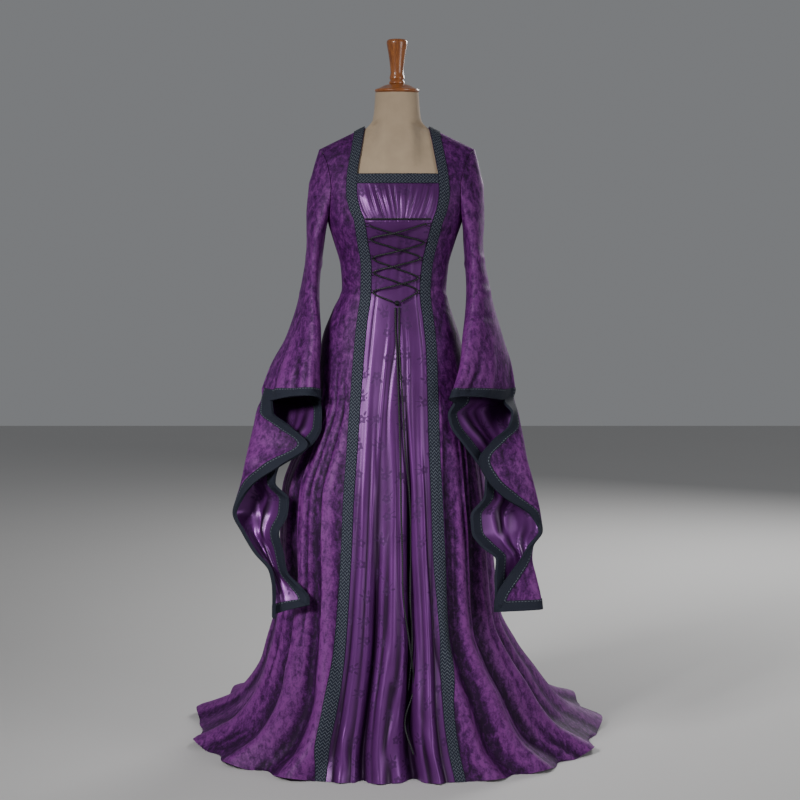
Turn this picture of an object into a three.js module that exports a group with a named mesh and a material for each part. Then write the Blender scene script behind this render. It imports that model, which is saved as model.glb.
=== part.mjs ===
// A medieval gown of velvet and satin on a limbless dress form.
// Millimetres, +Z up, the front faces -Y. The origin lies on the floor under the form's pole.
// Sides are the wearer's: right is -X, left is +X.

import * as THREE from 'three';

// Cloth and trim
const VELVET = 1.5;
const SATIN = 1.2;
const LINING = 1.0;
const BRAID = 1.2;
const SEAM_GAP = 0.3;
const FRONT_SEAM_HALF_GAP = 0.25;
const BRAID_GAP = 0.85;
const LINING_GAP = 0.35;
const CUFF_GAP = 1;
const BRAID_HALF_WIDTH = 12.5;
const BACK_BRAID_GAP = 1.3;
const CUFF_STEP = 12;
const CORD_RADIUS = 1.9;

// Body
const ROUNDNESS = 2.4;
const CHEST_LINE = 1290;
const NECK_POINT_HEIGHT = 1515.8;
const NECK_POINT_X = 76;
const BACK_NECK_HEIGHT = 1488;
const BODICE_TOP = 1403;
const NECK_BRAID_FOOT = 1380.4;
const HEM_HEIGHT = 1;
const TRAIN_LIFT = 2.4;
const FLOOR_CLEARANCE = 0.4;

// Dress form and stand
const FORM_CLEARANCE = 4.2;
const SHOULDER_SEAT = 2.3;
const FORM_FOOT = 862;
const NECK_TOP = 1596;
const FINIAL_TOP = 1723;
const POLE_RADIUS = 14;
const BASE_RADIUS = 170;
const BASE_THICKNESS = 12;

const COLOURS = {
  velvet: 0x551969,
  satin: 0x783c8c,
  braid: 0x1c2232,
  cord: 0x14181a,
  jersey: 0xa88f76,
  wood: 0xa55a28,
  steel: 0x8a8d90,
};

// The gown's outside by height: middle and half width across, and the depths of front, side and back.
const BODY_SECTIONS = [
  { z: 1, middle: 0, half: 512, front: -294, side: 302, back: 772 },
  { z: 28, middle: 0, half: 462, front: -286, side: 272, back: 664 },
  { z: 60, middle: 0, half: 412, front: -279, side: 236, back: 590 },
  { z: 105, middle: 0, half: 372, front: -271, side: 198, back: 528 },
  { z: 165, middle: -2, half: 335, front: -260, side: 156, back: 478 },
  { z: 240, middle: -14, half: 299, front: -245, side: 114, back: 430 },
  { z: 330, middle: -24, half: 267, front: -231, side: 78, back: 384 },
  { z: 430, middle: -25, half: 255, front: -216, side: 52, back: 340 },
  { z: 540, middle: -28, half: 251, front: -200, side: 34, back: 290 },
  { z: 650, middle: -30, half: 241, front: -185, side: 21, back: 244 },
  { z: 760, middle: -18, half: 213, front: -167, side: 13, back: 201 },
  { z: 860, middle: -8, half: 186, front: -150, side: 8, back: 164 },
  { z: 950, middle: -10, half: 176, front: -133, side: 5, back: 133 },
  { z: 1020, middle: -14, half: 163, front: -120, side: 2, back: 106 },
  { z: 1080, middle: -12, half: 142, front: -109, side: -4, back: 81 },
  { z: 1130, middle: -7, half: 125, front: -103, side: -7, back: 70 },
  { z: 1185, middle: -6, half: 129, front: -105, side: -8, back: 72 },
  { z: 1240, middle: -6, half: 144, front: -115, side: -7, back: 83 },
  { z: 1290, middle: -5, half: 160, front: -126, side: -6, back: 94 },
  { z: 1340, middle: -3, half: 172, front: -122, side: -2, back: 99 },
  { z: 1400, middle: 0, half: 188, front: -106, side: 4, back: 99 },
  { z: 1466, middle: 0, half: 198, front: -88, side: 9, back: 92 },
  { z: 1530, middle: 0, half: 200, front: -75, side: 12, back: 84 },
  { z: 1600, middle: 0, half: 200, front: -70, side: 12, back: 80 },
];

// Height of the shoulder and neck line over each distance from the middle.
const SHOULDER_LINE = [
  { x: 0, top: 1553 },
  { x: 184, top: 1463 },
  { x: 210, top: 1446 },
];

// Middle line of each front braid, which covers the seam of velvet and satin.
const FRONT_SEAMS = [
  { z: 1, right: -177, left: 147 },
  { z: 66, right: -169, left: 132 },
  { z: 145, right: -153, left: 121 },
  { z: 208, right: -143, left: 116 },
  { z: 287, right: -133, left: 111 },
  { z: 415, right: -124, left: 103 },
  { z: 523, right: -118, left: 96 },
  { z: 644, right: -113, left: 92 },
  { z: 757, right: -105, left: 87 },
  { z: 875, right: -97, left: 84 },
  { z: 984, right: -89, left: 81 },
  { z: 1056, right: -82, left: 74 },
  { z: 1125, right: -73, left: 66 },
  { z: 1185, right: -72, left: 70 },
  { z: 1241, right: -80, left: 82 },
  { z: 1295, right: -88, left: 96 },
  { z: 1320, right: -98, left: 105 },
  { z: 1360, right: -106, left: 111 },
  { z: 1404, right: -105, left: 108 },
  { z: 1466, right: -96, left: 98 },
  { z: 1516, right: -88.5, left: 88.5 },
];

// Armhole seam: distance from the middle at each share of the way up from armpit to shoulder.
const ARMHOLE = [
  { share: 0, x: 160 },
  { share: 0.14, x: 154 },
  { share: 0.42, x: 152 },
  { share: 0.69, x: 160 },
  { share: 0.88, x: 172 },
  { share: 1, x: 184 },
];

// Folds of the skirt. Angles are in degrees from the front, positive to the left.
// A positive depth is a ridge and a negative one a valley, both at the hem.
const SKIRT_FOLDS = [
  { hem: -24, start: -30, top: 900, depth: 34, width: 7.5 },
  { hem: -35, start: -38, top: 860, depth: -26, width: 6 },
  { hem: -46, start: -46, top: 960, depth: 26, width: 7 },
  { hem: -58, start: -56, top: 880, depth: -22, width: 6.5 },
  { hem: -70, start: -66, top: 940, depth: 24, width: 7 },
  { hem: -83, start: -80, top: 820, depth: -20, width: 7 },
  { hem: -97, start: -94, top: 960, depth: 26, width: 8 },
  { hem: -112, start: -108, top: 900, depth: -22, width: 7 },
  { hem: -126, start: -122, top: 1000, depth: 28, width: 8 },
  { hem: -141, start: -138, top: 900, depth: -22, width: 7 },
  { hem: -156, start: -154, top: 1010, depth: 28, width: 8 },
  { hem: -170, start: -170, top: 940, depth: -18, width: 6 },
  { hem: 176, start: 177, top: 1020, depth: 24, width: 7 },
  { hem: 163, start: 164, top: 900, depth: -20, width: 6 },
  { hem: 149, start: 150, top: 1000, depth: 28, width: 8 },
  { hem: 133, start: 136, top: 880, depth: -24, width: 7 },
  { hem: 118, start: 122, top: 980, depth: 26, width: 8 },
  { hem: 103, start: 106, top: 860, depth: -20, width: 7 },
  { hem: 89, start: 92, top: 940, depth: 24, width: 7.5 },
  { hem: 75, start: 78, top: 900, depth: -24, width: 6.5 },
  { hem: 62, start: 66, top: 960, depth: 24, width: 7 },
  { hem: 49, start: 54, top: 840, depth: -26, width: 6 },
  { hem: 38, start: 43, top: 930, depth: 22, width: 6 },
  { hem: 29.5, start: 35, top: 820, depth: -18, width: 4.5 },
  { hem: 21.5, start: 29, top: 900, depth: 26, width: 5 },
];

// Folds of the satin skirt panel, as shares of the way from the right seam to the left one.
const SATIN_FOLDS = [
  { share: 0.14, top: 1040, depth: 15, width: 0.09 },
  { share: 0.32, top: 860, depth: -26, width: 0.075 },
  { share: 0.46, top: 1000, depth: 17, width: 0.075 },
  { share: 0.66, top: 1030, depth: -42, width: 0.1 },
  { share: 0.85, top: 980, depth: 20, width: 0.08 },
];

// Gathers of the bodice insert: where each stands at the top and at the foot, and how high.
const GATHERS = { count: 13, height: 3.6, foot_spread: 0.62 };

// Sleeve tubes, from under the armhole to the wrist: middle, half length and half width of the
// section, and the turn of its long side away from the front.
const SLEEVE_TUBES = {
  right: [
    { z: 1250, x: -194, y: -6, long: 74, short: 22, turn: 3 },
    { z: 1130, x: -208, y: -16, long: 72, short: 22, turn: 8 },
    { z: 1015, x: -223, y: -37, long: 88, short: 32, turn: 22 },
    { z: 950, x: -240, y: -49, long: 97, short: 41, turn: 29 },
    { z: 870, x: -252, y: -60, long: 105, short: 51, turn: 35 },
  ],
  left: [
    { z: 1250, x: 182, y: -8, long: 74, short: 24, turn: 3 },
    { z: 1130, x: 194, y: -19, long: 73, short: 28, turn: 8 },
    { z: 1015, x: 204, y: -50, long: 92, short: 36, turn: 25 },
    { z: 950, x: 208, y: -70, long: 104, short: 34, turn: 33 },
    { z: 870, x: 202, y: -92, long: 118, short: 30, turn: 40 },
  ],
};

// Hanging part of each sleeve below the wrist, open at the front. outer_edge and inner_edge are the
// two free edges, fold is the outermost fold, near is how far forward the inner edge lies, slant is
// how fast the cloth runs back going outwards, depth is how deep it folds, rise lifts the inner end.
const SLEEVE_TAILS = {
  right: [
    { z: 840, outer_edge: -296, fold: -332, inner_edge: -179, near: -141, slant: 0.42, depth: 98, rise: 0 },
    { z: 808, outer_edge: -250, fold: -338, inner_edge: -180, near: -147, slant: 0.4, depth: 90, rise: 0 },
    { z: 772, outer_edge: -210, fold: -346, inner_edge: -199, near: -152, slant: 0.36, depth: 80, rise: 0 },
    { z: 722, outer_edge: -275, fold: -357, inner_edge: -277, near: -152, slant: 0.3, depth: 62, rise: 0 },
    { z: 678, outer_edge: -338, fold: -367, inner_edge: -288, near: -147, slant: 0.25, depth: 54, rise: 0 },
    { z: 638, outer_edge: -369, fold: -379, inner_edge: -257, near: -143, slant: 0.2, depth: 58, rise: 0 },
    { z: 604, outer_edge: -383, fold: -388, inner_edge: -260, near: -146, slant: 0.2, depth: 60, rise: 0 },
    { z: 560, outer_edge: -361, fold: -365, inner_edge: -280, near: -152, slant: 0.16, depth: 48, rise: 0 },
    { z: 516, outer_edge: -333, fold: -337, inner_edge: -269, near: -161, slant: 0.12, depth: 44, rise: 0 },
    { z: 472, outer_edge: -295, fold: -299, inner_edge: -259, near: -173, slant: 0.1, depth: 36, rise: 0 },
    { z: 432, outer_edge: -288, fold: -291, inner_edge: -224, near: -186, slant: 0.06, depth: 30, rise: 4 },
    { z: 394, outer_edge: -288, fold: -290, inner_edge: -207, near: -198, slant: 0.04, depth: 26, rise: 20 },
    { z: 370, outer_edge: -288, fold: -290, inner_edge: -207, near: -202, slant: 0.04, depth: 26, rise: 30 },
  ],
  left: [
    { z: 840, outer_edge: 275, fold: 286, inner_edge: 122, near: -160, slant: 0.44, depth: 88, rise: 0 },
    { z: 812, outer_edge: 268, fold: 291, inner_edge: 129, near: -166, slant: 0.42, depth: 84, rise: 0 },
    { z: 778, outer_edge: 226, fold: 297, inner_edge: 153, near: -169, slant: 0.4, depth: 78, rise: 0 },
    { z: 736, outer_edge: 194, fold: 304, inner_edge: 184, near: -170, slant: 0.34, depth: 66, rise: 0 },
    { z: 692, outer_edge: 212, fold: 316, inner_edge: 209, near: -167, slant: 0.28, depth: 54, rise: 0 },
    { z: 650, outer_edge: 250, fold: 327, inner_edge: 206, near: -168, slant: 0.24, depth: 50, rise: 0 },
    { z: 604, outer_edge: 318, fold: 337, inner_edge: 175, near: -178, slant: 0.2, depth: 52, rise: 0 },
    { z: 566, outer_edge: 337, fold: 342, inner_edge: 178, near: -182, slant: 0.18, depth: 50, rise: 0 },
    { z: 534, outer_edge: 311, fold: 320, inner_edge: 200, near: -186, slant: 0.14, depth: 46, rise: 0 },
    { z: 504, outer_edge: 291, fold: 316, inner_edge: 234, near: -190, slant: 0.12, depth: 44, rise: 0 },
    { z: 462, outer_edge: 258, fold: 325, inner_edge: 231, near: -197, slant: 0.1, depth: 42, rise: 0 },
    { z: 410, outer_edge: 229, fold: 336, inner_edge: 231, near: -205, slant: 0.07, depth: 40, rise: 4 },
    { z: 386, outer_edge: 228, fold: 338, inner_edge: 230, near: -207, slant: 0.06, depth: 40, rise: 8 },
  ],
};

// How many columns a sleeve section has behind its opening and across the front of the tube.
const SLEEVE_BACK_CELLS = 12;
const SLEEVE_FRONT_CELLS = 5;
const FLAP_CELLS = 4;
const OPENING_ARCH = 18;

// Where the wrist opening ends on the outer and on the inner side, in degrees round the tube from
// its front. Between them, round the back, the cloth runs on into the hanging part.
const OPENING_ENDS = {
  right: { outer: 95, inner: 310 },
  left: { outer: 115, inner: 310 },
};
const SLEEVE_HEAD_ROWS = [0, 0.2, 0.48, 0.78];
const SLEEVE_HEAD_BULGE = 12;
const ARMHOLE_GAP = 1.5;

const SIDES = [
  { name: 'right', sign: -1 },
  { name: 'left', sign: 1 },
];

// Tables

// A curve through one column of a table, that never swings past its rows.
function columnCurve(rows, along, name) {
  const at = rows.map((row) => row[along]);
  const value = rows.map((row) => row[name]);
  const count = rows.length;
  const step = [];
  for (let i = 0; i < count - 1; i += 1) {
    step.push((value[i + 1] - value[i]) / (at[i + 1] - at[i]));
  }
  const slope = value.map((_, i) => {
    if (i === 0) return step[0];
    if (i === count - 1) return step[count - 2];
    if (step[i - 1] * step[i] <= 0) return 0;
    return (2 * step[i - 1] * step[i]) / (step[i - 1] + step[i]);
  });
  return (position) => {
    if (position <= at[0]) return value[0];
    if (position >= at[count - 1]) return value[count - 1];
    let i = 0;
    while (position > at[i + 1]) i += 1;
    const span = at[i + 1] - at[i];
    const t = (position - at[i]) / span;
    const rest = 1 - t;
    return (
      value[i] * (1 + 2 * t) * rest * rest +
      slope[i] * span * t * rest * rest +
      value[i + 1] * t * t * (3 - 2 * t) -
      slope[i + 1] * span * t * t * rest
    );
  };
}

function columnCurves(rows, along, names) {
  return Object.fromEntries(names.map((name) => [name, columnCurve(rows, along, name)]));
}

function straightColumn(rows, along, name) {
  return (position) => {
    let i = 0;
    while (i < rows.length - 2 && position > rows[i + 1][along]) i += 1;
    const t = (position - rows[i][along]) / (rows[i + 1][along] - rows[i][along]);
    return THREE.MathUtils.lerp(rows[i][name], rows[i + 1][name], t);
  };
}

const body = columnCurves(BODY_SECTIONS, 'z', ['middle', 'half', 'front', 'side', 'back']);
const seam = columnCurves(FRONT_SEAMS, 'z', ['right', 'left']);
const armholeX = columnCurve(ARMHOLE, 'share', 'x');
const shoulderTop = straightColumn(SHOULDER_LINE, 'x', 'top');

// Body surface

function roundPower(value) {
  return Math.sign(value) * Math.abs(value) ** (2 / ROUNDNESS);
}

function sideShare(share) {
  return Math.max(0, 1 - Math.abs(share) ** ROUNDNESS) ** (1 / ROUNDNESS);
}

// Angle of the section whose point at this height lies at x, on the front.
function angleAt(x, z) {
  const share = THREE.MathUtils.clamp((x - body.middle(z)) / body.half(z), -1, 1);
  return Math.sign(share) * Math.asin(Math.abs(share) ** (ROUNDNESS / 2));
}

function smoothRidge(distance) {
  return Math.abs(distance) < 1 ? 0.5 + 0.5 * Math.cos(Math.PI * distance) : 0;
}

// A fold starts softly under its top and is whole at the hem.
function foldGrowth(top, z) {
  return THREE.MathUtils.clamp((top - z) / top, 0, 1) ** 1.35;
}

function skirtFolds(angle, z) {
  const degrees = THREE.MathUtils.radToDeg(angle);
  let relief = 0;
  for (const fold of SKIRT_FOLDS) {
    const centre = THREE.MathUtils.lerp(fold.hem, fold.start, THREE.MathUtils.clamp(z / fold.top, 0, 1));
    const away = ((degrees - centre + 540) % 360) - 180;
    relief += fold.depth * foldGrowth(fold.top, z) * smoothRidge(away / fold.width);
  }
  return relief;
}

function satinFolds(angle, z) {
  const from = angleAt(seam.right(z) + BRAID_HALF_WIDTH, z);
  const to = angleAt(seam.left(z) - BRAID_HALF_WIDTH, z);
  const share = (angle - from) / (to - from);
  if (share <= 0 || share >= 1) return 0;
  let relief = 0;
  for (const fold of SATIN_FOLDS) {
    relief += fold.depth * foldGrowth(fold.top, z) * smoothRidge((share - fold.share) / fold.width);
  }
  return relief;
}

function plainRing(angle, z) {
  const side = body.side(z);
  const reach = Math.cos(angle) > 0 ? side - body.front(z) : body.back(z) - side;
  const low = THREE.MathUtils.clamp((60 - z) / 60, 0, 1);
  const lift = TRAIN_LIFT * low * 0.5 * (1 - Math.cos(angle));
  return new THREE.Vector3(
    body.middle(z) + body.half(z) * roundPower(Math.sin(angle)),
    side - reach * roundPower(Math.cos(angle)),
    z + lift,
  );
}

function normalOf(surface, a, b, stepA, stepB) {
  const alongA = surface(a + stepA, b).sub(surface(a - stepA, b));
  const alongB = surface(a, b + stepB).sub(surface(a, b - stepB));
  return alongA.cross(alongB).normalize();
}

function gownRing(angle, z) {
  const point = plainRing(angle, z);
  const relief = skirtFolds(angle, z) + satinFolds(angle, z);
  if (relief === 0) return point;
  const out = normalOf(plainRing, angle, z, 0.02, 2);
  point.addScaledVector(out, relief);
  point.z = Math.max(point.z, z);
  return point;
}

function ringSample(angle, z) {
  const height = Math.max(z, HEM_HEIGHT + 1);
  return { p: gownRing(angle, z), n: normalOf(gownRing, angle, height, 0.012, 1) };
}

// Above the chest line the front and back round in to the shoulder line.
function upperPoint(x, z, facing, inset) {
  const side = body.side(z);
  const half = body.half(z) - inset.side;
  const reach = facing < 0 ? side - body.front(z) - inset.depth : body.back(z) - side - inset.depth;
  const top = shoulderTop(Math.abs(x)) - inset.top;
  const share = THREE.MathUtils.clamp((z - CHEST_LINE) / (top - CHEST_LINE), 0, 1);
  const roundOff = Math.sqrt(Math.max(0, 1 - share * share));
  return new THREE.Vector3(x, side + facing * reach * sideShare((x - body.middle(z)) / half) * roundOff, z);
}

const NO_INSET = { side: 0, depth: 0, top: 0 };

// Outward direction there, from how fast the rounded form falls away in x, y and z.
function upperNormal(x, z, facing) {
  const level = (px, py, pz) => {
    const side = body.side(pz);
    const reach = facing < 0 ? side - body.front(pz) : body.back(pz) - side;
    const across = Math.max(0.1, sideShare((px - body.middle(pz)) / body.half(pz)));
    const share = Math.max(0, (pz - CHEST_LINE) / (shoulderTop(Math.abs(px)) - CHEST_LINE));
    return ((py - side) / (reach * across)) ** 2 + share * share;
  };
  const y = upperPoint(x, z, facing, NO_INSET).y;
  const h = 0.5;
  return new THREE.Vector3(
    level(x + h, y, z) - level(x - h, y, z),
    level(x, y + h, z) - level(x, y - h, z),
    level(x, y, z + h) - level(x, y, z - h),
  ).normalize();
}

function upperSample(x, z, facing) {
  return { p: upperPoint(x, z, facing, NO_INSET), n: upperNormal(x, z, facing) };
}

// Solids from grids of samples, each a point of the outside and its outward direction

function trianglesToGeometry(positions, index) {
  const geometry = new THREE.BufferGeometry();
  geometry.setAttribute('position', new THREE.Float32BufferAttribute(positions, 3));
  geometry.setIndex(index);
  geometry.computeVertexNormals();
  return geometry;
}

function shiftedPoint(sample, distance, sideways) {
  const point = sample.p.clone().addScaledVector(sample.n, distance);
  if (sideways && sample.out) point.addScaledVector(sample.out, sideways);
  point.z = Math.max(point.z, FLOOR_CLEARANCE);
  return point;
}

function cellList(grid, hasCell) {
  const cells = [];
  for (let r = 0; r < grid.length - 1; r += 1) {
    for (let c = 0; c < grid[0].length - 1; c += 1) {
      if (hasCell(r, c)) cells.push([r, c]);
    }
  }
  return cells;
}

// Whether rows by columns turn outwards, judged over the whole grid.
function facesOutward(grid, cells) {
  let sum = 0;
  for (const [r, c] of cells) {
    const across = grid[r][c + 1].p.clone().sub(grid[r][c].p);
    const down = grid[r + 1][c].p.clone().sub(grid[r][c].p);
    sum += down.cross(across).normalize().dot(grid[r][c].n);
  }
  return sum > 0;
}

// A closed wall over the chosen cells, between two distances from the outside.
function wallGeometry(grid, { outer, inner, hasCell = () => true, joined = () => false }) {
  const positions = [];
  const index = [];
  const rowLength = grid[0].length;
  const vertex = (layer, r, c) => layer * grid.length * rowLength + r * rowLength + c;
  for (const distance of [outer, inner]) {
    for (const row of grid) {
      for (let c = 0; c < rowLength; c += 1) {
        const sample = row[c];
        const point = sample ? shiftedPoint(sample, distance, 0) : new THREE.Vector3();
        positions.push(point.x, point.y, point.z);
      }
    }
  }
  const lastCell = rowLength - 2;
  const present = (r, c) => {
    if (r < 0 || r > grid.length - 2) return false;
    if (c >= 0 && c <= lastCell) return hasCell(r, c);
    return joined(r) && hasCell(r, (c + lastCell + 1) % (lastCell + 1));
  };
  const cells = cellList(grid, hasCell);
  const ahead = facesOutward(grid, cells);
  for (const [r, c] of cells) {
    const corners = [[r, c], [r + 1, c], [r + 1, c + 1], [r, c + 1]];
    const beyond = [[r, c - 1], [r + 1, c], [r, c + 1], [r - 1, c]];
    const top = corners.map(([i, j]) => vertex(0, i, j));
    const low = corners.map(([i, j]) => vertex(1, i, j));
    const push = (a, b, d) => index.push(...(ahead ? [a, b, d] : [a, d, b]));
    push(top[0], top[1], top[2]);
    push(top[0], top[2], top[3]);
    push(low[0], low[2], low[1]);
    push(low[0], low[3], low[2]);
    for (let k = 0; k < 4; k += 1) {
      if (present(...beyond[k])) continue;
      const next = (k + 1) % 4;
      push(top[next], top[k], low[k]);
      push(top[next], low[k], low[next]);
    }
  }
  return trianglesToGeometry(positions, index);
}

// A binding folded over the free edge: two walls, over and under the cloth, closed past its edge.
function bindingGeometry(grid, { stack, hasCell, joined, freeEdge }) {
  const near = CUFF_GAP;
  const far = CUFF_GAP + BRAID;
  const layers = [
    { distance: far, past: far },
    { distance: near, past: near },
    { distance: -stack - near, past: near },
    { distance: -stack - far, past: far },
  ];
  const positions = [];
  const index = [];
  const rowLength = grid[0].length;
  const vertex = (layer, r, c) => layer * grid.length * rowLength + r * rowLength + c;
  for (const layer of layers) {
    for (const row of grid) {
      for (let c = 0; c < rowLength; c += 1) {
        const point = row[c] ? shiftedPoint(row[c], layer.distance, layer.past) : new THREE.Vector3();
        positions.push(point.x, point.y, point.z);
      }
    }
  }
  const lastCell = rowLength - 2;
  const present = (r, c) => {
    if (r < 0 || r > grid.length - 2) return false;
    if (c >= 0 && c <= lastCell) return hasCell(r, c);
    return joined(r) && hasCell(r, (c + lastCell + 1) % (lastCell + 1));
  };
  const cells = cellList(grid, hasCell);
  const ahead = facesOutward(grid, cells);
  for (const [r, c] of cells) {
    const corners = [[r, c], [r + 1, c], [r + 1, c + 1], [r, c + 1]];
    const beyond = [[r, c - 1], [r + 1, c], [r, c + 1], [r - 1, c]];
    const ring = [0, 1, 2, 3].map((layer) => corners.map(([i, j]) => vertex(layer, i, j)));
    const push = (a, b, d) => index.push(...(ahead ? [a, b, d] : [a, d, b]));
    const face = (layer, outward) => {
      const q = ring[layer];
      if (outward) {
        push(q[0], q[1], q[2]);
        push(q[0], q[2], q[3]);
      } else {
        push(q[0], q[2], q[1]);
        push(q[0], q[3], q[2]);
      }
    };
    face(0, true);
    face(1, false);
    face(2, true);
    face(3, false);
    const strip = (upper, lower, k, outward) => {
      const next = (k + 1) % 4;
      const [a, b, d, e] = [ring[upper][next], ring[upper][k], ring[lower][k], ring[lower][next]];
      if (outward) {
        push(a, b, d);
        push(a, d, e);
      } else {
        push(a, d, b);
        push(a, e, d);
      }
    };
    for (let k = 0; k < 4; k += 1) {
      if (present(...beyond[k])) continue;
      if (freeEdge(r, c, k)) {
        strip(0, 3, k, true);
        strip(1, 2, k, false);
      } else {
        strip(0, 1, k, true);
        strip(2, 3, k, true);
      }
    }
  }
  return trianglesToGeometry(positions, index);
}

// A solid through closed sections, with a flat end at each side.
function sectionSolid(sections) {
  const positions = [];
  const index = [];
  const count = sections[0].length;
  for (const section of sections) {
    for (const point of section) positions.push(point.x, point.y, point.z);
  }
  for (let r = 0; r < sections.length - 1; r += 1) {
    for (let c = 0; c < count; c += 1) {
      const next = (c + 1) % count;
      const [a, b, d, e] = [r * count + c, r * count + next, (r + 1) * count + c, (r + 1) * count + next];
      index.push(a, b, e, a, e, d);
    }
  }
  for (const [row, first] of [[0, true], [sections.length - 1, false]]) {
    const centre = positions.length / 3;
    const middle = sections[row].reduce((sum, point) => sum.add(point), new THREE.Vector3());
    middle.divideScalar(count);
    positions.push(middle.x, middle.y, middle.z);
    for (let c = 0; c < count; c += 1) {
      const here = row * count + c;
      const next = row * count + ((c + 1) % count);
      index.push(...(first ? [centre, next, here] : [centre, here, next]));
    }
  }
  return trianglesToGeometry(positions, index);
}

// Cloth panels of the body

const LOWER_ROWS = [1290, 1235, 1180, 1125, 1065, 990, 890, 770, 640, 510, 390, 280, 190, 115, 55, 1];
const UPPER_SHARES = [1, 0.985, 0.945, 0.87, 0.76, 0.64, 0.54, 0.5, 0.4, 0.2];
const FRONT_COLUMNS = 10;
const BACK_COLUMNS = 12;
const SATIN_COLUMNS = 18;
const EDGE_BLEND = { from: 1403, to: 1412 };

// Velvet edge at the front: under the middle of the braid, and under its inner edge above the bodice.
function frontEdge(side, z) {
  const shift = THREE.MathUtils.smoothstep(z, EDGE_BLEND.from, EDGE_BLEND.to) * BRAID_HALF_WIDTH;
  return seam[side.name](z) - side.sign * shift;
}

// The first two columns lie one and two half widths of the braid from the edge. Both panels are
// listed towards the left, as the braids over them are, so that their facets agree.
function frontPanelGrid(side) {
  const rest = Array.from({ length: FRONT_COLUMNS - 2 }, (_, c) => (c + 1) / (FRONT_COLUMNS - 2));
  const beside = [FRONT_SEAM_HALF_GAP, BRAID_HALF_WIDTH, 2 * BRAID_HALF_WIDTH];
  const lower = LOWER_ROWS.map((z) => {
    const edge = frontEdge(side, z);
    const first = beside.map((offset) => angleAt(edge + side.sign * offset, z));
    const to = side.sign * (Math.PI / 2 - SEAM_GAP / 2 / body.half(z));
    const angles = [...first, ...rest.map((share) => THREE.MathUtils.lerp(first[2], to, share))];
    return angles.map((angle) => ringSample(angle, z));
  });
  const start = lower[0][2].p.x;
  const end = lower[0][FRONT_COLUMNS].p.x;
  const spread = lower[0].slice(3).map((sample) => (sample.p.x - start) / (end - start));
  const upper = UPPER_SHARES.map((share) => {
    const innerZ = innerHeight(share);
    const edge = frontEdge(side, innerZ);
    const near = beside.map((offset) => edge + side.sign * offset);
    const outer = armholeEdge(side, share);
    const across = [...near, ...spread.map((along) => THREE.MathUtils.lerp(near[2], outer.x, along))];
    return upperRow(across, near[0], innerZ, outer, -1);
  });
  const grid = [...upper, ...lower];
  return side.sign < 0 ? grid.map((row) => row.reverse()) : grid;
}

function armholeEdge(side, share) {
  const x = side.sign * armholeX(share) + (1 - share) * body.middle(CHEST_LINE);
  return { x, z: THREE.MathUtils.lerp(CHEST_LINE, shoulderTop(Math.abs(x)), share) };
}

// Height of the inner end of a row, by its share of the way from the chest line to the neck point.
function innerHeight(share) {
  return THREE.MathUtils.lerp(CHEST_LINE, NECK_POINT_HEIGHT, share);
}

// One row across a shoulder, from the neckline to the armhole. The last row is the shoulder seam.
function upperRow(across, innerX, innerZ, outer, facing) {
  return across.map((x) => {
    const along = (x - innerX) / (outer.x - innerX);
    const sample = upperSample(x, THREE.MathUtils.lerp(innerZ, outer.z, along), facing);
    sample.p.y += facing * SEAM_GAP / 2;
    return sample;
  });
}

function backPanelGrid(side) {
  const shares = Array.from({ length: BACK_COLUMNS + 1 }, (_, c) => c / BACK_COLUMNS);
  const lower = LOWER_ROWS.map((z) => {
    const from = side.sign * (Math.PI - SEAM_GAP / 2 / body.half(z));
    const to = side.sign * (Math.PI / 2 + SEAM_GAP / 2 / body.half(z));
    return shares.map((share) => ringSample(THREE.MathUtils.lerp(from, to, share), z));
  });
  const first = lower[0];
  const spread = first.map((sample) => (sample.p.x - first[0].p.x) / (first[BACK_COLUMNS].p.x - first[0].p.x));
  const upper = UPPER_SHARES.map((share) => {
    const inner = backNeckline(share);
    const innerX = side.sign * Math.max(inner.x, SEAM_GAP / 2);
    const outer = armholeEdge(side, share);
    const across = spread.map((along) => THREE.MathUtils.lerp(innerX, outer.x, along));
    return upperRow(across, innerX, inner.z, outer, 1);
  });
  return [...upper, ...lower];
}

// The back panel's inner edge: up the centre back, then round the scooped neckline.
const NECK_TURN = 0.6;
function backNeckline(share) {
  if (share <= NECK_TURN) {
    return { x: 0, z: THREE.MathUtils.lerp(CHEST_LINE, BACK_NECK_HEIGHT, share / NECK_TURN) };
  }
  const turn = ((share - NECK_TURN) / (1 - NECK_TURN)) * (Math.PI / 2);
  return {
    x: NECK_POINT_X * Math.sin(turn),
    z: NECK_POINT_HEIGHT - (NECK_POINT_HEIGHT - BACK_NECK_HEIGHT) * Math.cos(turn),
  };
}

function satinSkirtGrid() {
  return LOWER_ROWS.map((z) => {
    const [right, left] = SIDES.map((side) => frontEdge(side, z));
    const from = angleAt(right + BRAID_HALF_WIDTH, z);
    const to = angleAt(left - BRAID_HALF_WIDTH, z);
    const inside = Array.from({ length: SATIN_COLUMNS - 1 }, (_, c) =>
      THREE.MathUtils.lerp(from, to, c / (SATIN_COLUMNS - 2)));
    const edges = [right + FRONT_SEAM_HALF_GAP, left - FRONT_SEAM_HALF_GAP].map((x) => angleAt(x, z));
    const angles = [edges[0], ...inside, edges[1]];
    return angles.map((angle) => ringSample(angle, z));
  });
}

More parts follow.
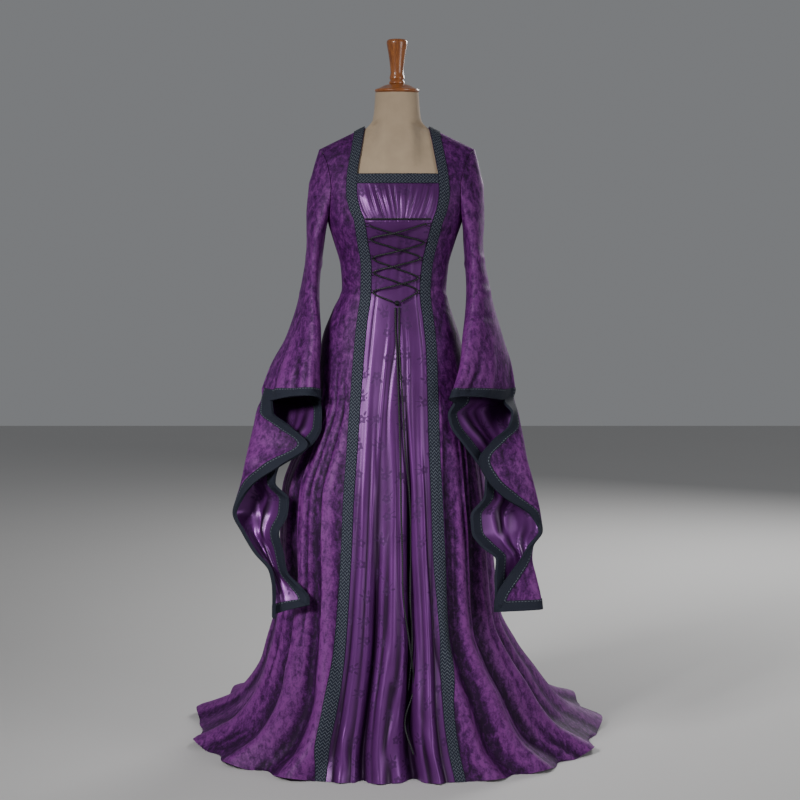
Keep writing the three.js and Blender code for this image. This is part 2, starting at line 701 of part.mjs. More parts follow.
// The bodice insert, with gathers that spread upwards from its foot.
const BODICE_SHARES = [0.5, 0.4, 0.2];
const BODICE_ROWS = [...BODICE_SHARES.map(innerHeight), CHEST_LINE + SEAM_GAP];
function bodiceGrid() {
  const columns = GATHERS.count * 2;
  return BODICE_ROWS.map((z) => {
    const from = frontEdge(SIDES[0], z) + FRONT_SEAM_HALF_GAP;
    const to = frontEdge(SIDES[1], z) - FRONT_SEAM_HALF_GAP;
    const rise = (z - CHEST_LINE) / (NECK_BRAID_FOOT - CHEST_LINE);
    const height = GATHERS.height * Math.sin(Math.PI * THREE.MathUtils.clamp(rise, 0, 1)) ** 0.7;
    return Array.from({ length: columns + 1 }, (_, c) => {
      const share = c / columns;
      const spread = THREE.MathUtils.lerp(GATHERS.foot_spread, 1, THREE.MathUtils.clamp(rise, 0, 1));
      const x = THREE.MathUtils.lerp(from, to, 0.5 + (share - 0.5) * spread + gatherLean(share) * (1 - spread));
      const sample = upperSample(x, z, -1);
      const edge = Math.sin(Math.PI * share) ** 0.3;
      const wave = 0.5 - 0.5 * Math.cos(2 * Math.PI * GATHERS.count * share);
      sample.p.addScaledVector(sample.n, -height * edge * (1 - wave));
      return sample;
    });
  });
}

// Keeps the outer columns on the side seams where the gathers draw together.
function gatherLean(share) {
  const far = 2 * share - 1;
  return 0.5 * Math.sign(far) * Math.abs(far) ** 5;
}

// Braids on the body

function frontBraidGrid(side) {
  const offsets = [-BRAID_HALF_WIDTH, 0, BRAID_HALF_WIDTH];
  const lower = LOWER_ROWS.map((z) => offsets.map((offset) => {
    const here = seam[side.name](z) + offset;
    return ringSample(angleAt(here, z), z);
  }));
  const upper = UPPER_SHARES.map((share) => {
    const z = innerHeight(share);
    const across = offsets.map((offset) => seam[side.name](z) + offset);
    const inner = frontEdge(side, z) + side.sign * FRONT_SEAM_HALF_GAP;
    return upperRow(across, inner, z, armholeEdge(side, share), -1);
  });
  return [...upper, ...lower];
}

function neckBraidFrontGrid() {
  const columns = 14;
  return [BODICE_TOP, NECK_BRAID_FOOT].map((z) => {
    const reach = BRAID_HALF_WIDTH + SEAM_GAP;
    const from = seam.right(z) + reach;
    const to = seam.left(z) - reach;
    return Array.from({ length: columns + 1 }, (_, c) =>
      upperSample(THREE.MathUtils.lerp(from, to, c / columns), z, -1));
  });
}

function neckBraidBackGrid() {
  const columns = 26;
  const samples = [0, 0.33, 0.67, 1].map((across) =>
    Array.from({ length: columns + 1 }, (_, c) => {
      const turn = ((c / columns) * 2 - 1) * (Math.PI / 2);
      const grow = across * 2 * BRAID_HALF_WIDTH;
      const x = (NECK_POINT_X + grow) * Math.sin(turn);
      const rise = NECK_POINT_HEIGHT - (NECK_POINT_HEIGHT - BACK_NECK_HEIGHT + grow) * Math.cos(turn);
      const limit = shoulderTop(Math.abs(x));
      const sample = upperSample(x, Math.min(rise, limit), 1);
      sample.p.y += SEAM_GAP / 2;
      return sample;
    }));
  return samples;
}

// Sleeves

function ellipsePoint(row, side, degrees, z) {
  const turn = THREE.MathUtils.degToRad(row.turn);
  const angle = THREE.MathUtils.degToRad(degrees);
  const along = row.long * Math.cos(angle);
  const across = row.short * Math.sin(angle);
  return new THREE.Vector3(
    row.x + side.sign * (-along * Math.sin(turn) + across * Math.cos(turn)),
    row.y - along * Math.cos(turn) - across * Math.sin(turn),
    z,
  );
}

// Columns run from the outer edge of the opening round the back to the inner one, then the front.
function sleeveAngles(side) {
  const { outer, inner } = OPENING_ENDS[side.name];
  const back = Array.from({ length: SLEEVE_BACK_CELLS + 1 }, (_, c) =>
    THREE.MathUtils.lerp(outer, inner, c / SLEEVE_BACK_CELLS));
  const front = Array.from({ length: SLEEVE_FRONT_CELLS }, (_, c) =>
    THREE.MathUtils.lerp(inner, outer + 360, (c + 1) / SLEEVE_FRONT_CELLS));
  return [...back, ...front];
}

// Point of the armhole seam for a direction round the sleeve: 90 at the shoulder, 270 at the armpit.
function armholePoint(side, degrees) {
  const angle = THREE.MathUtils.degToRad(degrees);
  const share = 0.5 + 0.5 * Math.sin(angle);
  const facing = Math.cos(angle) >= 0 ? -1 : 1;
  const x = side.sign * armholeX(share) + (1 - share) * body.middle(CHEST_LINE);
  const z = THREE.MathUtils.lerp(CHEST_LINE, shoulderTop(Math.abs(x)), share);
  const point = upperPoint(x, z, facing, NO_INSET);
  if (share < 0.999) return point;
  point.y = body.side(z);
  return point;
}

function sleeveTubeRows(side) {
  const angles = sleeveAngles(side);
  const rows = SLEEVE_TUBES[side.name];
  const tube = columnCurves([...rows].reverse(), 'z', ['x', 'y', 'long', 'short', 'turn']);
  const sectionAt = (z) => Object.fromEntries(Object.keys(tube).map((name) => [name, tube[name](z)]));
  const head = SLEEVE_HEAD_ROWS.map((share) => angles.map((degrees) => {
    const from = armholePoint(side, degrees);
    from.x += side.sign * ARMHOLE_GAP;
    const to = ellipsePoint(rows[0], side, degrees, rows[0].z);
    const point = from.lerp(to, share);
    const top = Math.max(0, Math.sin(THREE.MathUtils.degToRad(degrees)));
    point.x += side.sign * SLEEVE_HEAD_BULGE * top * Math.sin(Math.PI * share);
    return point;
  }));
  const wrist = rows[rows.length - 1].z;
  const heights = [...rows.slice(0, -1).map((row) => row.z), wrist + 2 * CUFF_STEP, wrist + CUFF_STEP, wrist];
  const lower = heights.map((z) => angles.map((degrees, c) => {
    const front = Math.max(0, c - SLEEVE_BACK_CELLS) / SLEEVE_FRONT_CELLS;
    const near = THREE.MathUtils.clamp(1 - (z - wrist) / 60, 0, 1);
    const arch = OPENING_ARCH * Math.sin(Math.PI * front) * near;
    return ellipsePoint(sectionAt(z), side, degrees, z + arch);
  }));
  return [...head, ...lower];
}

// Step of a hundred along a hanging section's curve where it turns at the outermost fold.
const FOLD_STEP = 30;

// One open section of the hanging part, from the outer free edge round the back to the inner one.
function tailSection(row, side, edgeSlope) {
  const layered = (x, layer) => {
    const outward = side.sign * (x - row.inner_edge);
    return new THREE.Vector2(x, row.near + row.slant * outward + layer * row.depth);
  };
  const across = row.fold - row.inner_edge;
  const points = [
    layered(row.outer_edge, 0),
    layered(row.fold, 0.22),
    layered(row.fold, 0.6),
    layered(row.inner_edge + across * 0.72, 1),
    layered(row.inner_edge + across * 0.34, 0.72),
    layered(row.inner_edge, 0.25),
  ];
  const curve = new THREE.CatmullRomCurve3(
    points.map((point) => new THREE.Vector3(point.x, point.y, 0)), false, 'centripetal');
  const length = curve.getLength();
  const turn = curve.getLengths(100)[FOLD_STEP];
  const first = Math.min(CUFF_STEP * edgeSlope.outer, turn * 0.3);
  const last = Math.min(CUFF_STEP * edgeSlope.inner, (length - turn) * 0.2);
  const inside = SLEEVE_BACK_CELLS - 2;
  return Array.from({ length: SLEEVE_BACK_CELLS + 1 }, (_, c) => {
    let at = first * c;
    if (c > 2) at = THREE.MathUtils.lerp(2 * first, turn, (c - 2) / (FLAP_CELLS - 2));
    if (c > FLAP_CELLS) {
      at = THREE.MathUtils.lerp(turn, length - 2 * last, (c - FLAP_CELLS) / (inside - FLAP_CELLS));
    }
    if (c > inside) at = length - last * (SLEEVE_BACK_CELLS - c);
    const share = at / length;
    const point = curve.getPointAt(share);
    point.z = row.z + row.rise * share;
    return point;
  });
}

// How much longer a braid's width is along the row than square to a slanting edge.
function slantOf(rows, i, name) {
  const above = rows[Math.max(i - 1, 0)];
  const below = rows[Math.min(i + 1, rows.length - 1)];
  const slope = (above[name] - below[name]) / (above.z - below.z);
  return Math.min(Math.hypot(1, slope), 1.7);
}

function sleeveGrid(side) {
  const tube = sleeveTubeRows(side);
  const tails = SLEEVE_TAILS[side.name];
  const tail = tails.map((row, i) => tailSection(row, side, {
    outer: slantOf(tails, i, 'outer_edge'),
    inner: slantOf(tails, i, 'inner_edge'),
  }));
  const splitRow = tube.length - 1;
  const columns = tube[0].length;
  const points = [...tube, ...tail.map((row) => [...row, ...Array(columns - row.length).fill(null)])];
  const middles = tube.map((row) =>
    row.reduce((sum, point) => sum.add(point), new THREE.Vector3()).divideScalar(columns));
  const grid = points.map((row, r) => row.map((point, c) => {
    if (!point) return null;
    const open = r > splitRow;
    const last = open ? SLEEVE_BACK_CELLS : columns - 1;
    const before = open ? row[Math.max(c - 1, 0)] : row[(c + last - 1) % last];
    const after = open ? row[Math.min(c + 1, last)] : row[(c + 1) % last];
    const along = after.clone().sub(before);
    const higher = points[Math.max(r - 1, 0)][c];
    const lower = points[r + 1]?.[c] ?? point;
    const up = higher.clone().sub(lower);
    const n = along.cross(up).normalize();
    const away = open ? sleeveOutward(side, row, c) : point.clone().sub(middles[Math.max(r, SLEEVE_HEAD_ROWS.length)]);
    if (n.dot(away) < 0) n.negate();
    return { p: point, n };
  }));
  for (const row of grid.slice(0, splitRow + 1)) row[columns - 1].n.copy(row[0].n);
  markFreeEdge(grid, splitRow);
  return { grid, splitRow };
}

// Columns run clockwise on one side and the other way on the other, which fixes what is outward.
function sleeveOutward(side, row, c) {
  const next = row[c + 1] ?? row[c];
  const before = row[c - 1] ?? row[c];
  const along = next.clone().sub(before);
  return new THREE.Vector3(along.y, -along.x, 0).multiplyScalar(side.sign);
}

// Direction past the cloth at each point of its free edge.
function markFreeEdge(grid, splitRow) {
  const last = grid.length - 1;
  const add = (r, c, fromR, fromC) => {
    const here = grid[r][c];
    const away = here.p.clone().sub(grid[fromR][fromC].p);
    away.addScaledVector(here.n, -away.dot(here.n)).normalize();
    here.out = here.out ? here.out.add(away) : away;
  };
  for (let r = splitRow; r <= last; r += 1) {
    add(r, 0, r, 1);
    add(r, SLEEVE_BACK_CELLS, r, SLEEVE_BACK_CELLS - 1);
  }
  for (let c = 0; c <= SLEEVE_BACK_CELLS; c += 1) add(last, c, last - 1, c);
  for (let c = SLEEVE_BACK_CELLS; c < grid[0].length; c += 1) add(splitRow, c, splitRow - 1, c);
  const seamCopy = grid[splitRow][grid[0].length - 1];
  grid[splitRow][0].out.add(seamCopy.out);
  seamCopy.out.copy(grid[splitRow][0].out);
}

// Cords on the front

function onFront(x, z, lift) {
  const sample = z > CHEST_LINE ? upperSample(x, z, -1) : ringSample(angleAt(x, z), z);
  return sample.p.clone().addScaledVector(sample.n, lift);
}

// A round cord through its points, in straight steps.
function cordGeometry(points, steps, sides) {
  const curve = new THREE.CatmullRomCurve3(points, false, 'centripetal');
  const section = new THREE.Shape();
  for (let i = 0; i < sides; i += 1) {
    const angle = (2 * Math.PI * i) / sides;
    const x = CORD_RADIUS * Math.cos(angle);
    const y = CORD_RADIUS * Math.sin(angle);
    if (i === 0) section.moveTo(x, y);
    else section.lineTo(x, y);
  }
  section.closePath();
  return new THREE.ExtrudeGeometry(section, { steps, extrudePath: curve, curveSegments: 1, bevelEnabled: false });
}

// Dress form

const FORM_ROWS = [FORM_FOOT, 905, 950, 1020, 1080, 1130, 1185, 1240, 1290];
const FORM_UPPER = [
  { z: 1340, half: 151, front: -110, back: 88 },
  { z: 1400, half: 158, front: -94, back: 86 },
  { z: 1436, half: 165, front: -84, back: 80 },
  { z: 1453, half: 167, front: -79, back: 74 },
  { z: 1464, half: 160, front: -75, back: 70 },
  { z: 1476, half: 142, front: -70, back: 66 },
  { z: 1488, half: 119, front: -64, back: 61 },
  { z: 1500, half: 94, front: -58, back: 57 },
  { z: 1512, half: 74, front: -54, back: 56 },
  { z: 1532, half: 58, front: -50, back: 55 },
  { z: 1560, half: 54, front: -47, back: 53 },
  { z: NECK_TOP, half: 51.5, front: -45, back: 51 },
];
const FORM_POINTS = 26;
const NECKLINE_REACH = 45;
const NECK_MIDDLE_SHARE = 0.4;

// The form fills the gown's inside with a small gap, and its neck stands free of it.
function formSections() {
  const inset = VELVET + FORM_CLEARANCE;
  const insets = { side: inset, depth: inset, top: SHOULDER_SEAT };
  const angles = Array.from({ length: FORM_POINTS }, (_, i) => (2 * Math.PI * i) / FORM_POINTS);
  const lower = FORM_ROWS.map((z) => angles.map((angle) => {
    const side = body.side(z);
    const reach = Math.cos(angle) > 0 ? side - body.front(z) : body.back(z) - side;
    const narrow = z >= CHEST_LINE ? FORM_CLEARANCE : 0;
    return new THREE.Vector3(
      body.middle(z) + (body.half(z) - inset - narrow) * roundPower(Math.sin(angle)),
      side - (reach - inset) * roundPower(Math.cos(angle)),
      z,
    );
  }));
  const upper = FORM_UPPER.map(({ z, half, front, back }) => angles.map((angle) => {
    const facing = Math.cos(angle) > 0 ? -1 : 1;
    const side = body.side(z) * (z > NECK_POINT_HEIGHT ? NECK_MIDDLE_SHARE : 1);
    const x = body.middle(z) + half * roundPower(Math.sin(angle));
    const own = Math.abs((facing < 0 ? front : back) - side) * Math.abs(roundPower(Math.cos(angle)));
    const covered = Math.abs(x) > NECKLINE_REACH || facing > 0 || z < BODICE_TOP;
    const inGown = Math.abs(upperPoint(x, z, facing, insets).y - side);
    const depth = covered && z < NECK_POINT_HEIGHT ? Math.min(own, inGown) : own;
    return new THREE.Vector3(x, side + facing * depth, z);
  }));
  return [...lower, ...upper];
}

function turned(profile, segments) {
  const points = profile.map(([radius, z]) => new THREE.Vector2(radius, z));
  const geometry = new THREE.LatheGeometry(points, segments);
  geometry.rotateX(Math.PI / 2);
  return geometry;
}

// Assembly

const gown = new THREE.Group();
gown.name = 'medieval_gown';

function addPiece(parent, name, geometry, colour, roughness, metalness = 0) {
  const material = new THREE.MeshStandardMaterial({ color: colour, roughness, metalness });
  const mesh = new THREE.Mesh(geometry, material);
  mesh.name = name;
  parent.add(mesh);
  return mesh;
}

function addPanels() {
  for (const side of SIDES) {
    const walls = { outer: 0, inner: -VELVET };
    addPiece(gown, `front_${side.name}`, wallGeometry(frontPanelGrid(side), walls), COLOURS.velvet, 0.75);
    addPiece(gown, `back_${side.name}`, wallGeometry(backPanelGrid(side), walls), COLOURS.velvet, 0.75);
  }
  const satin = { outer: 0, inner: -SATIN };
  addPiece(gown, 'centre_skirt', wallGeometry(satinSkirtGrid(), satin), COLOURS.satin, 0.35);
  addPiece(gown, 'centre_bodice', wallGeometry(bodiceGrid(), satin), COLOURS.satin, 0.35);
}

function addSleeves() {
  for (const side of SIDES) {
    const { grid, splitRow } = sleeveGrid(side);
    const joined = (r) => r < splitRow;
    const cloth = (r, c) => r < splitRow || c < SLEEVE_BACK_CELLS;
    addPiece(gown, `sleeve_${side.name}`,
      wallGeometry(grid, { outer: 0, inner: -VELVET, hasCell: cloth, joined }), COLOURS.velvet, 0.75);
    const liningTop = -VELVET - LINING_GAP;
    addPiece(gown, `sleeve_lining_${side.name}`, wallGeometry(grid, {
      outer: liningTop,
      inner: liningTop - LINING,
      hasCell: (r, c) => r >= splitRow - 2 && cloth(r, c),
      joined,
    }), COLOURS.satin, 0.35);
    const lastRow = grid.length - 2;
    const bound = (r, c) => {
      if (!cloth(r, c)) return false;
      const besideEdge = c < 2 || c >= SLEEVE_BACK_CELLS - 2;
      if (r >= splitRow) return besideEdge || r === lastRow;
      return r >= splitRow - 2 && besideEdge;
    };
    const freeEdge = (r, c, k) => {
      if (k === 0) return r >= splitRow && c === 0;
      if (k === 2) return r >= splitRow && c === SLEEVE_BACK_CELLS - 1;
      if (k === 1) return r === lastRow || (r === splitRow - 1 && c >= SLEEVE_BACK_CELLS);
      return false;
    };
    addPiece(gown, `braid_cuff_${side.name}`, bindingGeometry(grid, {
      stack: VELVET + LINING_GAP + LINING, hasCell: bound, joined, freeEdge,
    }), COLOURS.braid, 0.85);
  }
}

function addBraids() {
  const strip = { outer: BRAID_GAP + BRAID, inner: BRAID_GAP };
  for (const side of SIDES) {
    addPiece(gown, `braid_front_${side.name}`, wallGeometry(frontBraidGrid(side), strip), COLOURS.braid, 0.85);
  }
  addPiece(gown, 'braid_neck_front', wallGeometry(neckBraidFrontGrid(), strip), COLOURS.braid, 0.85);
  const back = { outer: BACK_BRAID_GAP + BRAID, inner: BACK_BRAID_GAP };
  addPiece(gown, 'braid_neck_back', wallGeometry(neckBraidBackGrid(), back), COLOURS.braid, 0.85);
}

// Lacing: each row is where the cord turns at the right and the left braid.
const LACE_TURNS = [
  { rightX: -62, rightZ: 1284, leftX: 68, leftZ: 1284 },
  { rightX: -60, rightZ: 1248, leftX: 62, leftZ: 1246 },
  { rightX: -55, rightZ: 1209, leftX: 54, leftZ: 1204 },
  { rightX: -53, rightZ: 1169, leftX: 49, leftZ: 1162 },
  { rightX: -55, rightZ: 1128, leftX: 48, leftZ: 1126 },
];
const KNOT_HEIGHT = 1099;
const KNOT_RADIUS = 6;
const LACE_LIFT = { under: 4.4, over: 8.8, turn: 5 };

function laceRoute(startsLeft) {
  const points = [];
  LACE_TURNS.forEach((turn, i) => {
    const onLeft = (i % 2 === 0) === startsLeft;
    const x = onLeft ? turn.leftX : turn.rightX;
    const z = (onLeft ? turn.leftZ : turn.rightZ) + (startsLeft ? 3 : -3);
    if (i > 0) {
      const middleX = (points[points.length - 1].x + x) / 2;
      const middleZ = (points[points.length - 1].z + z) / 2;
      const over = (i % 2 === 1) === startsLeft;
      points.push(onFront(middleX, middleZ, over ? LACE_LIFT.over : LACE_LIFT.under));
    }
    points.push(onFront(x, z, LACE_LIFT.turn));
  });
  const side = (LACE_TURNS.length % 2 === 1) === startsLeft ? 1 : -1;
  points.push(onFront(side * (KNOT_RADIUS + CORD_RADIUS + 1), KNOT_HEIGHT + 3, LACE_LIFT.turn + 2));
  return points;
}

// Routes of the two free ends from the knot down the satin: x, height and distance off the cloth.
const FREE_ENDS = {
  lace_end_first: [
    { x: -4, z: 1090, off: 4 },
    { x: -3, z: 1040, off: 2.6 },
    { x: 0, z: 985, off: 2.4 },
    { x: 4, z: 876, off: 5 },
    { x: 5, z: 760, off: 6 },
    { x: 6, z: 645, off: 7 },
    { x: 8, z: 520, off: 8 },
    { x: 13, z: 416, off: 9 },
    { x: 19, z: 310, off: 12 },
    { x: 26, z: 207, off: 16 },
    { x: 36, z: 130, off: 18 },
    { x: 48, z: 62, off: 10 },
  ],
  lace_end_second: [
    { x: 5, z: 1090, off: 4 },
    { x: 6, z: 1040, off: 2.7 },
    { x: 7, z: 985, off: 2.5 },
    { x: 11, z: 876, off: 5 },
    { x: 16, z: 760, off: 6 },
    { x: 23, z: 668, off: 7 },
    { x: 26, z: 600, off: 8 },
    { x: 25, z: 510, off: 9 },
    { x: 23, z: 416, off: 10 },
    { x: 27, z: 300, off: 11 },
    { x: 31, z: 200, off: 11 },
  ],
};

function addCords() {
  addPiece(gown, 'lace_bar', cordGeometry(
    [-74, -40, 0, 40, 80].map((x) => onFront(x, 1297, 2.3)), 8, 6), COLOURS.cord, 0.6);
  addPiece(gown, 'lace_first', cordGeometry(laceRoute(true), 18, 6), COLOURS.cord, 0.6);
  addPiece(gown, 'lace_second', cordGeometry(laceRoute(false), 18, 6), COLOURS.cord, 0.6);
  const knot = addPiece(gown, 'lace_knot', new THREE.SphereGeometry(KNOT_RADIUS, 8, 6), COLOURS.cord, 0.6);
  knot.position.copy(onFront(0, KNOT_HEIGHT, KNOT_RADIUS + 1));
  for (const [name, route] of Object.entries(FREE_ENDS)) {
    const points = route.map((stop) => onFront(stop.x, stop.z, stop.off));
    addPiece(gown, name, cordGeometry(points, 24, 8), COLOURS.cord, 0.6);
  }
}

function addDressForm() {
  const form = new THREE.Group();
  const neckMiddle = (FORM_UPPER.at(-1).front + FORM_UPPER.at(-1).back) / 2;
  addPiece(form, 'form_torso', sectionSolid(formSections()), COLOURS.jersey, 0.9);
  const cap = turned([[0, 0], [50, 0], [53, 5], [50, 9], [36, 15], [22, 20], [0, 20]], 20);
  addPiece(form, 'neck_cap', cap, COLOURS.wood, 0.4).position.set(0, neckMiddle, NECK_TOP + SEAM_GAP);
  const finialFoot = NECK_TOP + SEAM_GAP * 2 + 20;
  const tall = FINIAL_TOP - finialFoot;
  const finial = turned([[0, 0], [18, 0], [18.5, 5], [16, 9], [17.5, 13], [17, 20], [15.5, 26], [18, tall * 0.55],
    [24.5, tall - 10], [24, tall - 5], [18, tall - 1], [0, tall]], 14);
  addPiece(form, 'neck_finial', finial, COLOURS.wood, 0.4).position.set(0, neckMiddle, finialFoot);
  const poleTop = FORM_FOOT - SEAM_GAP;
  const poleFoot = BASE_THICKNESS + SEAM_GAP;
  const pole = turned([[0, poleFoot], [POLE_RADIUS, poleFoot], [POLE_RADIUS, poleTop], [0, poleTop]], 12);
  addPiece(form, 'stand_pole', pole, COLOURS.steel, 0.35, 1);
  const base = turned([[0, 0], [BASE_RADIUS, 0], [BASE_RADIUS, 6], [BASE_RADIUS - 8, 10], [40, BASE_THICKNESS],
    [0, BASE_THICKNESS]], 24);
  addPiece(form, 'stand_base', base, COLOURS.steel, 0.45, 1);
  gown.add(form);
}

addPanels();
addSleeves();
addBraids();
addCords();
addDressForm();

export default gown;
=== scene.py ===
"""A medieval gown of velvet and satin on a dress form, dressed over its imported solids.

Lengths in the tables are millimetres. Sides are the wearer's: right is -X, left is +X.
"""

import math
from types import SimpleNamespace

import bmesh
import bpy
import numpy as np
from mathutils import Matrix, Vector


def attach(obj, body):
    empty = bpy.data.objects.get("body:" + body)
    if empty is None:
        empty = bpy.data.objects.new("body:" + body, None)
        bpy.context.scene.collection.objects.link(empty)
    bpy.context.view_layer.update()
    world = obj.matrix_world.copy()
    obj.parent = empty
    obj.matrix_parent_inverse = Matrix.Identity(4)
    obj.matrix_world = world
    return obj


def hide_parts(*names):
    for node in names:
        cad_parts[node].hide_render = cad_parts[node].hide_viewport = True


bl_info = {
    "name": "Medieval gown",
    "version": (1, 0, 0),
    "blender": (4, 5, 0),
    "location": "View3D > Sidebar > Gown",
    "description": "Builds the cloth, braid, lacing and dress form of a medieval gown",
    "category": "Object",
}

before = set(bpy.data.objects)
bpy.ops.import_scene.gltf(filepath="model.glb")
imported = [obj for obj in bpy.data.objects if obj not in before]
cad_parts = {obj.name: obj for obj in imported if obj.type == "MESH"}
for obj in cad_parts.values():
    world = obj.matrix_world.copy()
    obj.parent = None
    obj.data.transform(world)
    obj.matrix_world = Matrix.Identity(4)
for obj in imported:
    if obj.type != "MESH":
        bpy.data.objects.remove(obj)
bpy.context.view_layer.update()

MM = 0.001
SIDES = {"right": -1, "left": 1}

# Form of the body, as in the part's source
ROUNDNESS = 2.4
CHEST_LINE = 1290
NECK_POINT_HEIGHT = 1515.8
NECK_POINT_X = 76
BACK_NECK_HEIGHT = 1488
NECK_TURN = 0.6
BODICE_TOP = 1403
NECK_BRAID_FOOT = 1380.4
TRAIN_LIFT = 2.4
TRAIN_LIFT_TOP = 60
FLOOR_CLEARANCE = 0.4
SEAM_GAP = 0.3
FRONT_SEAM_HALF_GAP = 0.25
BRAID_HALF_WIDTH = 12.5
BRAID_GAP = 0.85
BACK_BRAID_GAP = 1.3
BRAID_CREST = 1.05
BRAID_STITCH_SPACING = 4.4
HEM_STITCH_HEIGHT = 16
HEM_STITCH_LIFT = 0.15
HEM_STITCH_SPACING = 5.2
FORM_FOOT = 862
NECK_TOP = 1596
NECK_MIDDLE_Y = 3


def rows_of(columns, rows):
    """A table's columns by name, as arrays."""
    values = np.array(rows, float)
    return {name: values[:, i] for i, name in enumerate(columns.split())}


BODY_SECTIONS = rows_of("z middle half front side back", [
    (1, 0, 512, -294, 302, 772),
    (28, 0, 462, -286, 272, 664),
    (60, 0, 412, -279, 236, 590),
    (105, 0, 372, -271, 198, 528),
    (165, -2, 335, -260, 156, 478),
    (240, -14, 299, -245, 114, 430),
    (330, -24, 267, -231, 78, 384),
    (430, -25, 255, -216, 52, 340),
    (540, -28, 251, -200, 34, 290),
    (650, -30, 241, -185, 21, 244),
    (760, -18, 213, -167, 13, 201),
    (860, -8, 186, -150, 8, 164),
    (950, -10, 176, -133, 5, 133),
    (1020, -14, 163, -120, 2, 106),
    (1080, -12, 142, -109, -4, 81),
    (1130, -7, 125, -103, -7, 70),
    (1185, -6, 129, -105, -8, 72),
    (1240, -6, 144, -115, -7, 83),
    (1290, -5, 160, -126, -6, 94),
    (1340, -3, 172, -122, -2, 99),
    (1400, 0, 188, -106, 4, 99),
    (1466, 0, 198, -88, 9, 92),
    (1530, 0, 200, -75, 12, 84),
    (1600, 0, 200, -70, 12, 80),
])
SHOULDER_LINE = rows_of("x top", [(0, 1553), (184, 1463), (210, 1446)])
FRONT_SEAMS = rows_of("z right left", [
    (1, -177, 147),
    (66, -169, 132),
    (145, -153, 121),
    (208, -143, 116),
    (287, -133, 111),
    (415, -124, 103),
    (523, -118, 96),
    (644, -113, 92),
    (757, -105, 87),
    (875, -97, 84),
    (984, -89, 81),
    (1056, -82, 74),
    (1125, -73, 66),
    (1185, -72, 70),
    (1241, -80, 82),
    (1295, -88, 96),
    (1320, -98, 105),
    (1360, -106, 111),
    (1404, -105, 108),
    (1466, -96, 98),
    (1516, -88.5, 88.5),
])
ARMHOLE = rows_of("share x", [(0, 160), (0.14, 154), (0.42, 152), (0.69, 160), (0.88, 172), (1, 184)])

# Folds of the skirt, in degrees from the front; positive depths are ridges
SKIRT_FOLDS = rows_of("hem start top depth width", [
    (-24, -30, 900, 34, 7.5),
    (-35, -38, 860, -26, 6),
    (-46, -46, 960, 26, 7),
    (-58, -56, 880, -22, 6.5),
    (-70, -66, 940, 24, 7),
    (-83, -80, 820, -20, 7),
    (-97, -94, 960, 26, 8),
    (-112, -108, 900, -22, 7),
    (-126, -122, 1000, 28, 8),
    (-141, -138, 900, -22, 7),
    (-156, -154, 1010, 28, 8),
    (-170, -170, 940, -18, 6),
    (176, 177, 1020, 24, 7),
    (163, 164, 900, -20, 6),
    (149, 150, 1000, 28, 8),
    (133, 136, 880, -24, 7),
    (118, 122, 980, 26, 8),
    (103, 106, 860, -20, 7),
    (89, 92, 940, 24, 7.5),
    (75, 78, 900, -24, 6.5),
    (62, 66, 960, 24, 7),
    (49, 54, 840, -26, 6),
    (38, 43, 930, 22, 6),
    (29.5, 35, 820, -18, 4.5),
    (21.5, 29, 900, 26, 5),
])
SATIN_FOLDS = rows_of("share top depth width", [
    (0.14, 1040, 15, 0.09),
    (0.32, 860, -26, 0.075),
    (0.46, 1000, 17, 0.075),
    (0.66, 1030, -42, 0.1),
    (0.85, 980, 20, 0.08),
])

# Small creases over the folds: soft ridges and troughs from a low to a high height, whose middle goes
# from low_at to high_at, in degrees from the front on velvet and as a share of the width on satin
VELVET_CREASES = rows_of("low_at high_at low high depth width", [
    (-27, -33, 60, 760, 6, 2.2),
    (-31, -36, 240, 980, -5, 1.9),
    (-39, -41, 40, 620, 5, 2),
    (-43, -44, 160, 1010, -6, 2.4),
    (-50, -49, 30, 560, 6, 2.4),
    (-53, -52, 380, 1000, 4, 2),
    (-64, -62, 260, 1000, 6, 2.8),
    (-67, -65, 20, 460, -4, 2.2),
    (-77, -72, 20, 520, -6, 2.8),
    (-80, -77, 420, 1040, 4, 2.6),
    (-90, -88, 230, 1060, 6, 3.2),
    (-93, -92, 10, 420, -4, 2.4),
    (-104, -101, 20, 700, 7, 3),
    (-107, -105, 460, 1050, -4, 2.6),
    (-119, -116, 180, 980, -6, 3),
    (-122, -119, 20, 380, 5, 2.6),
    (-134, -130, 10, 620, 7, 3),
    (-138, -134, 400, 1060, -4, 2.8),
    (-149, -146, 240, 1040, 6, 3.2),
    (-163, -162, 20, 760, -7, 3),
    (-166, -165, 380, 1050, 4, 2.8),
    (-176, -177, 240, 1000, 5, 2.8),
    (170, 171, 20, 640, 7, 3),
    (166, 168, 420, 1060, -4, 2.8),
    (156, 157, 220, 980, -6, 3.2),
    (141, 143, 20, 720, 7, 3),
    (137, 140, 420, 1060, -4, 2.8),
    (126, 129, 200, 1030, 6, 3),
    (111, 114, 10, 560, -7, 3),
    (108, 111, 380, 1040, 4, 2.6),
    (96, 99, 260, 960, 6, 3),
    (82, 85, 20, 660, 6, 2.8),
    (78, 81, 420, 1030, -4, 2.4),
    (68, 72, 210, 1020, -5, 2.6),
    (56, 60, 20, 600, 6, 2.4),
    (51, 56, 380, 1010, 4, 2),
    (44, 49, 160, 900, 5, 2.2),
    (33, 39, 30, 720, -6, 2),
    (25, 33, 200, 980, 5, 1.9),
])
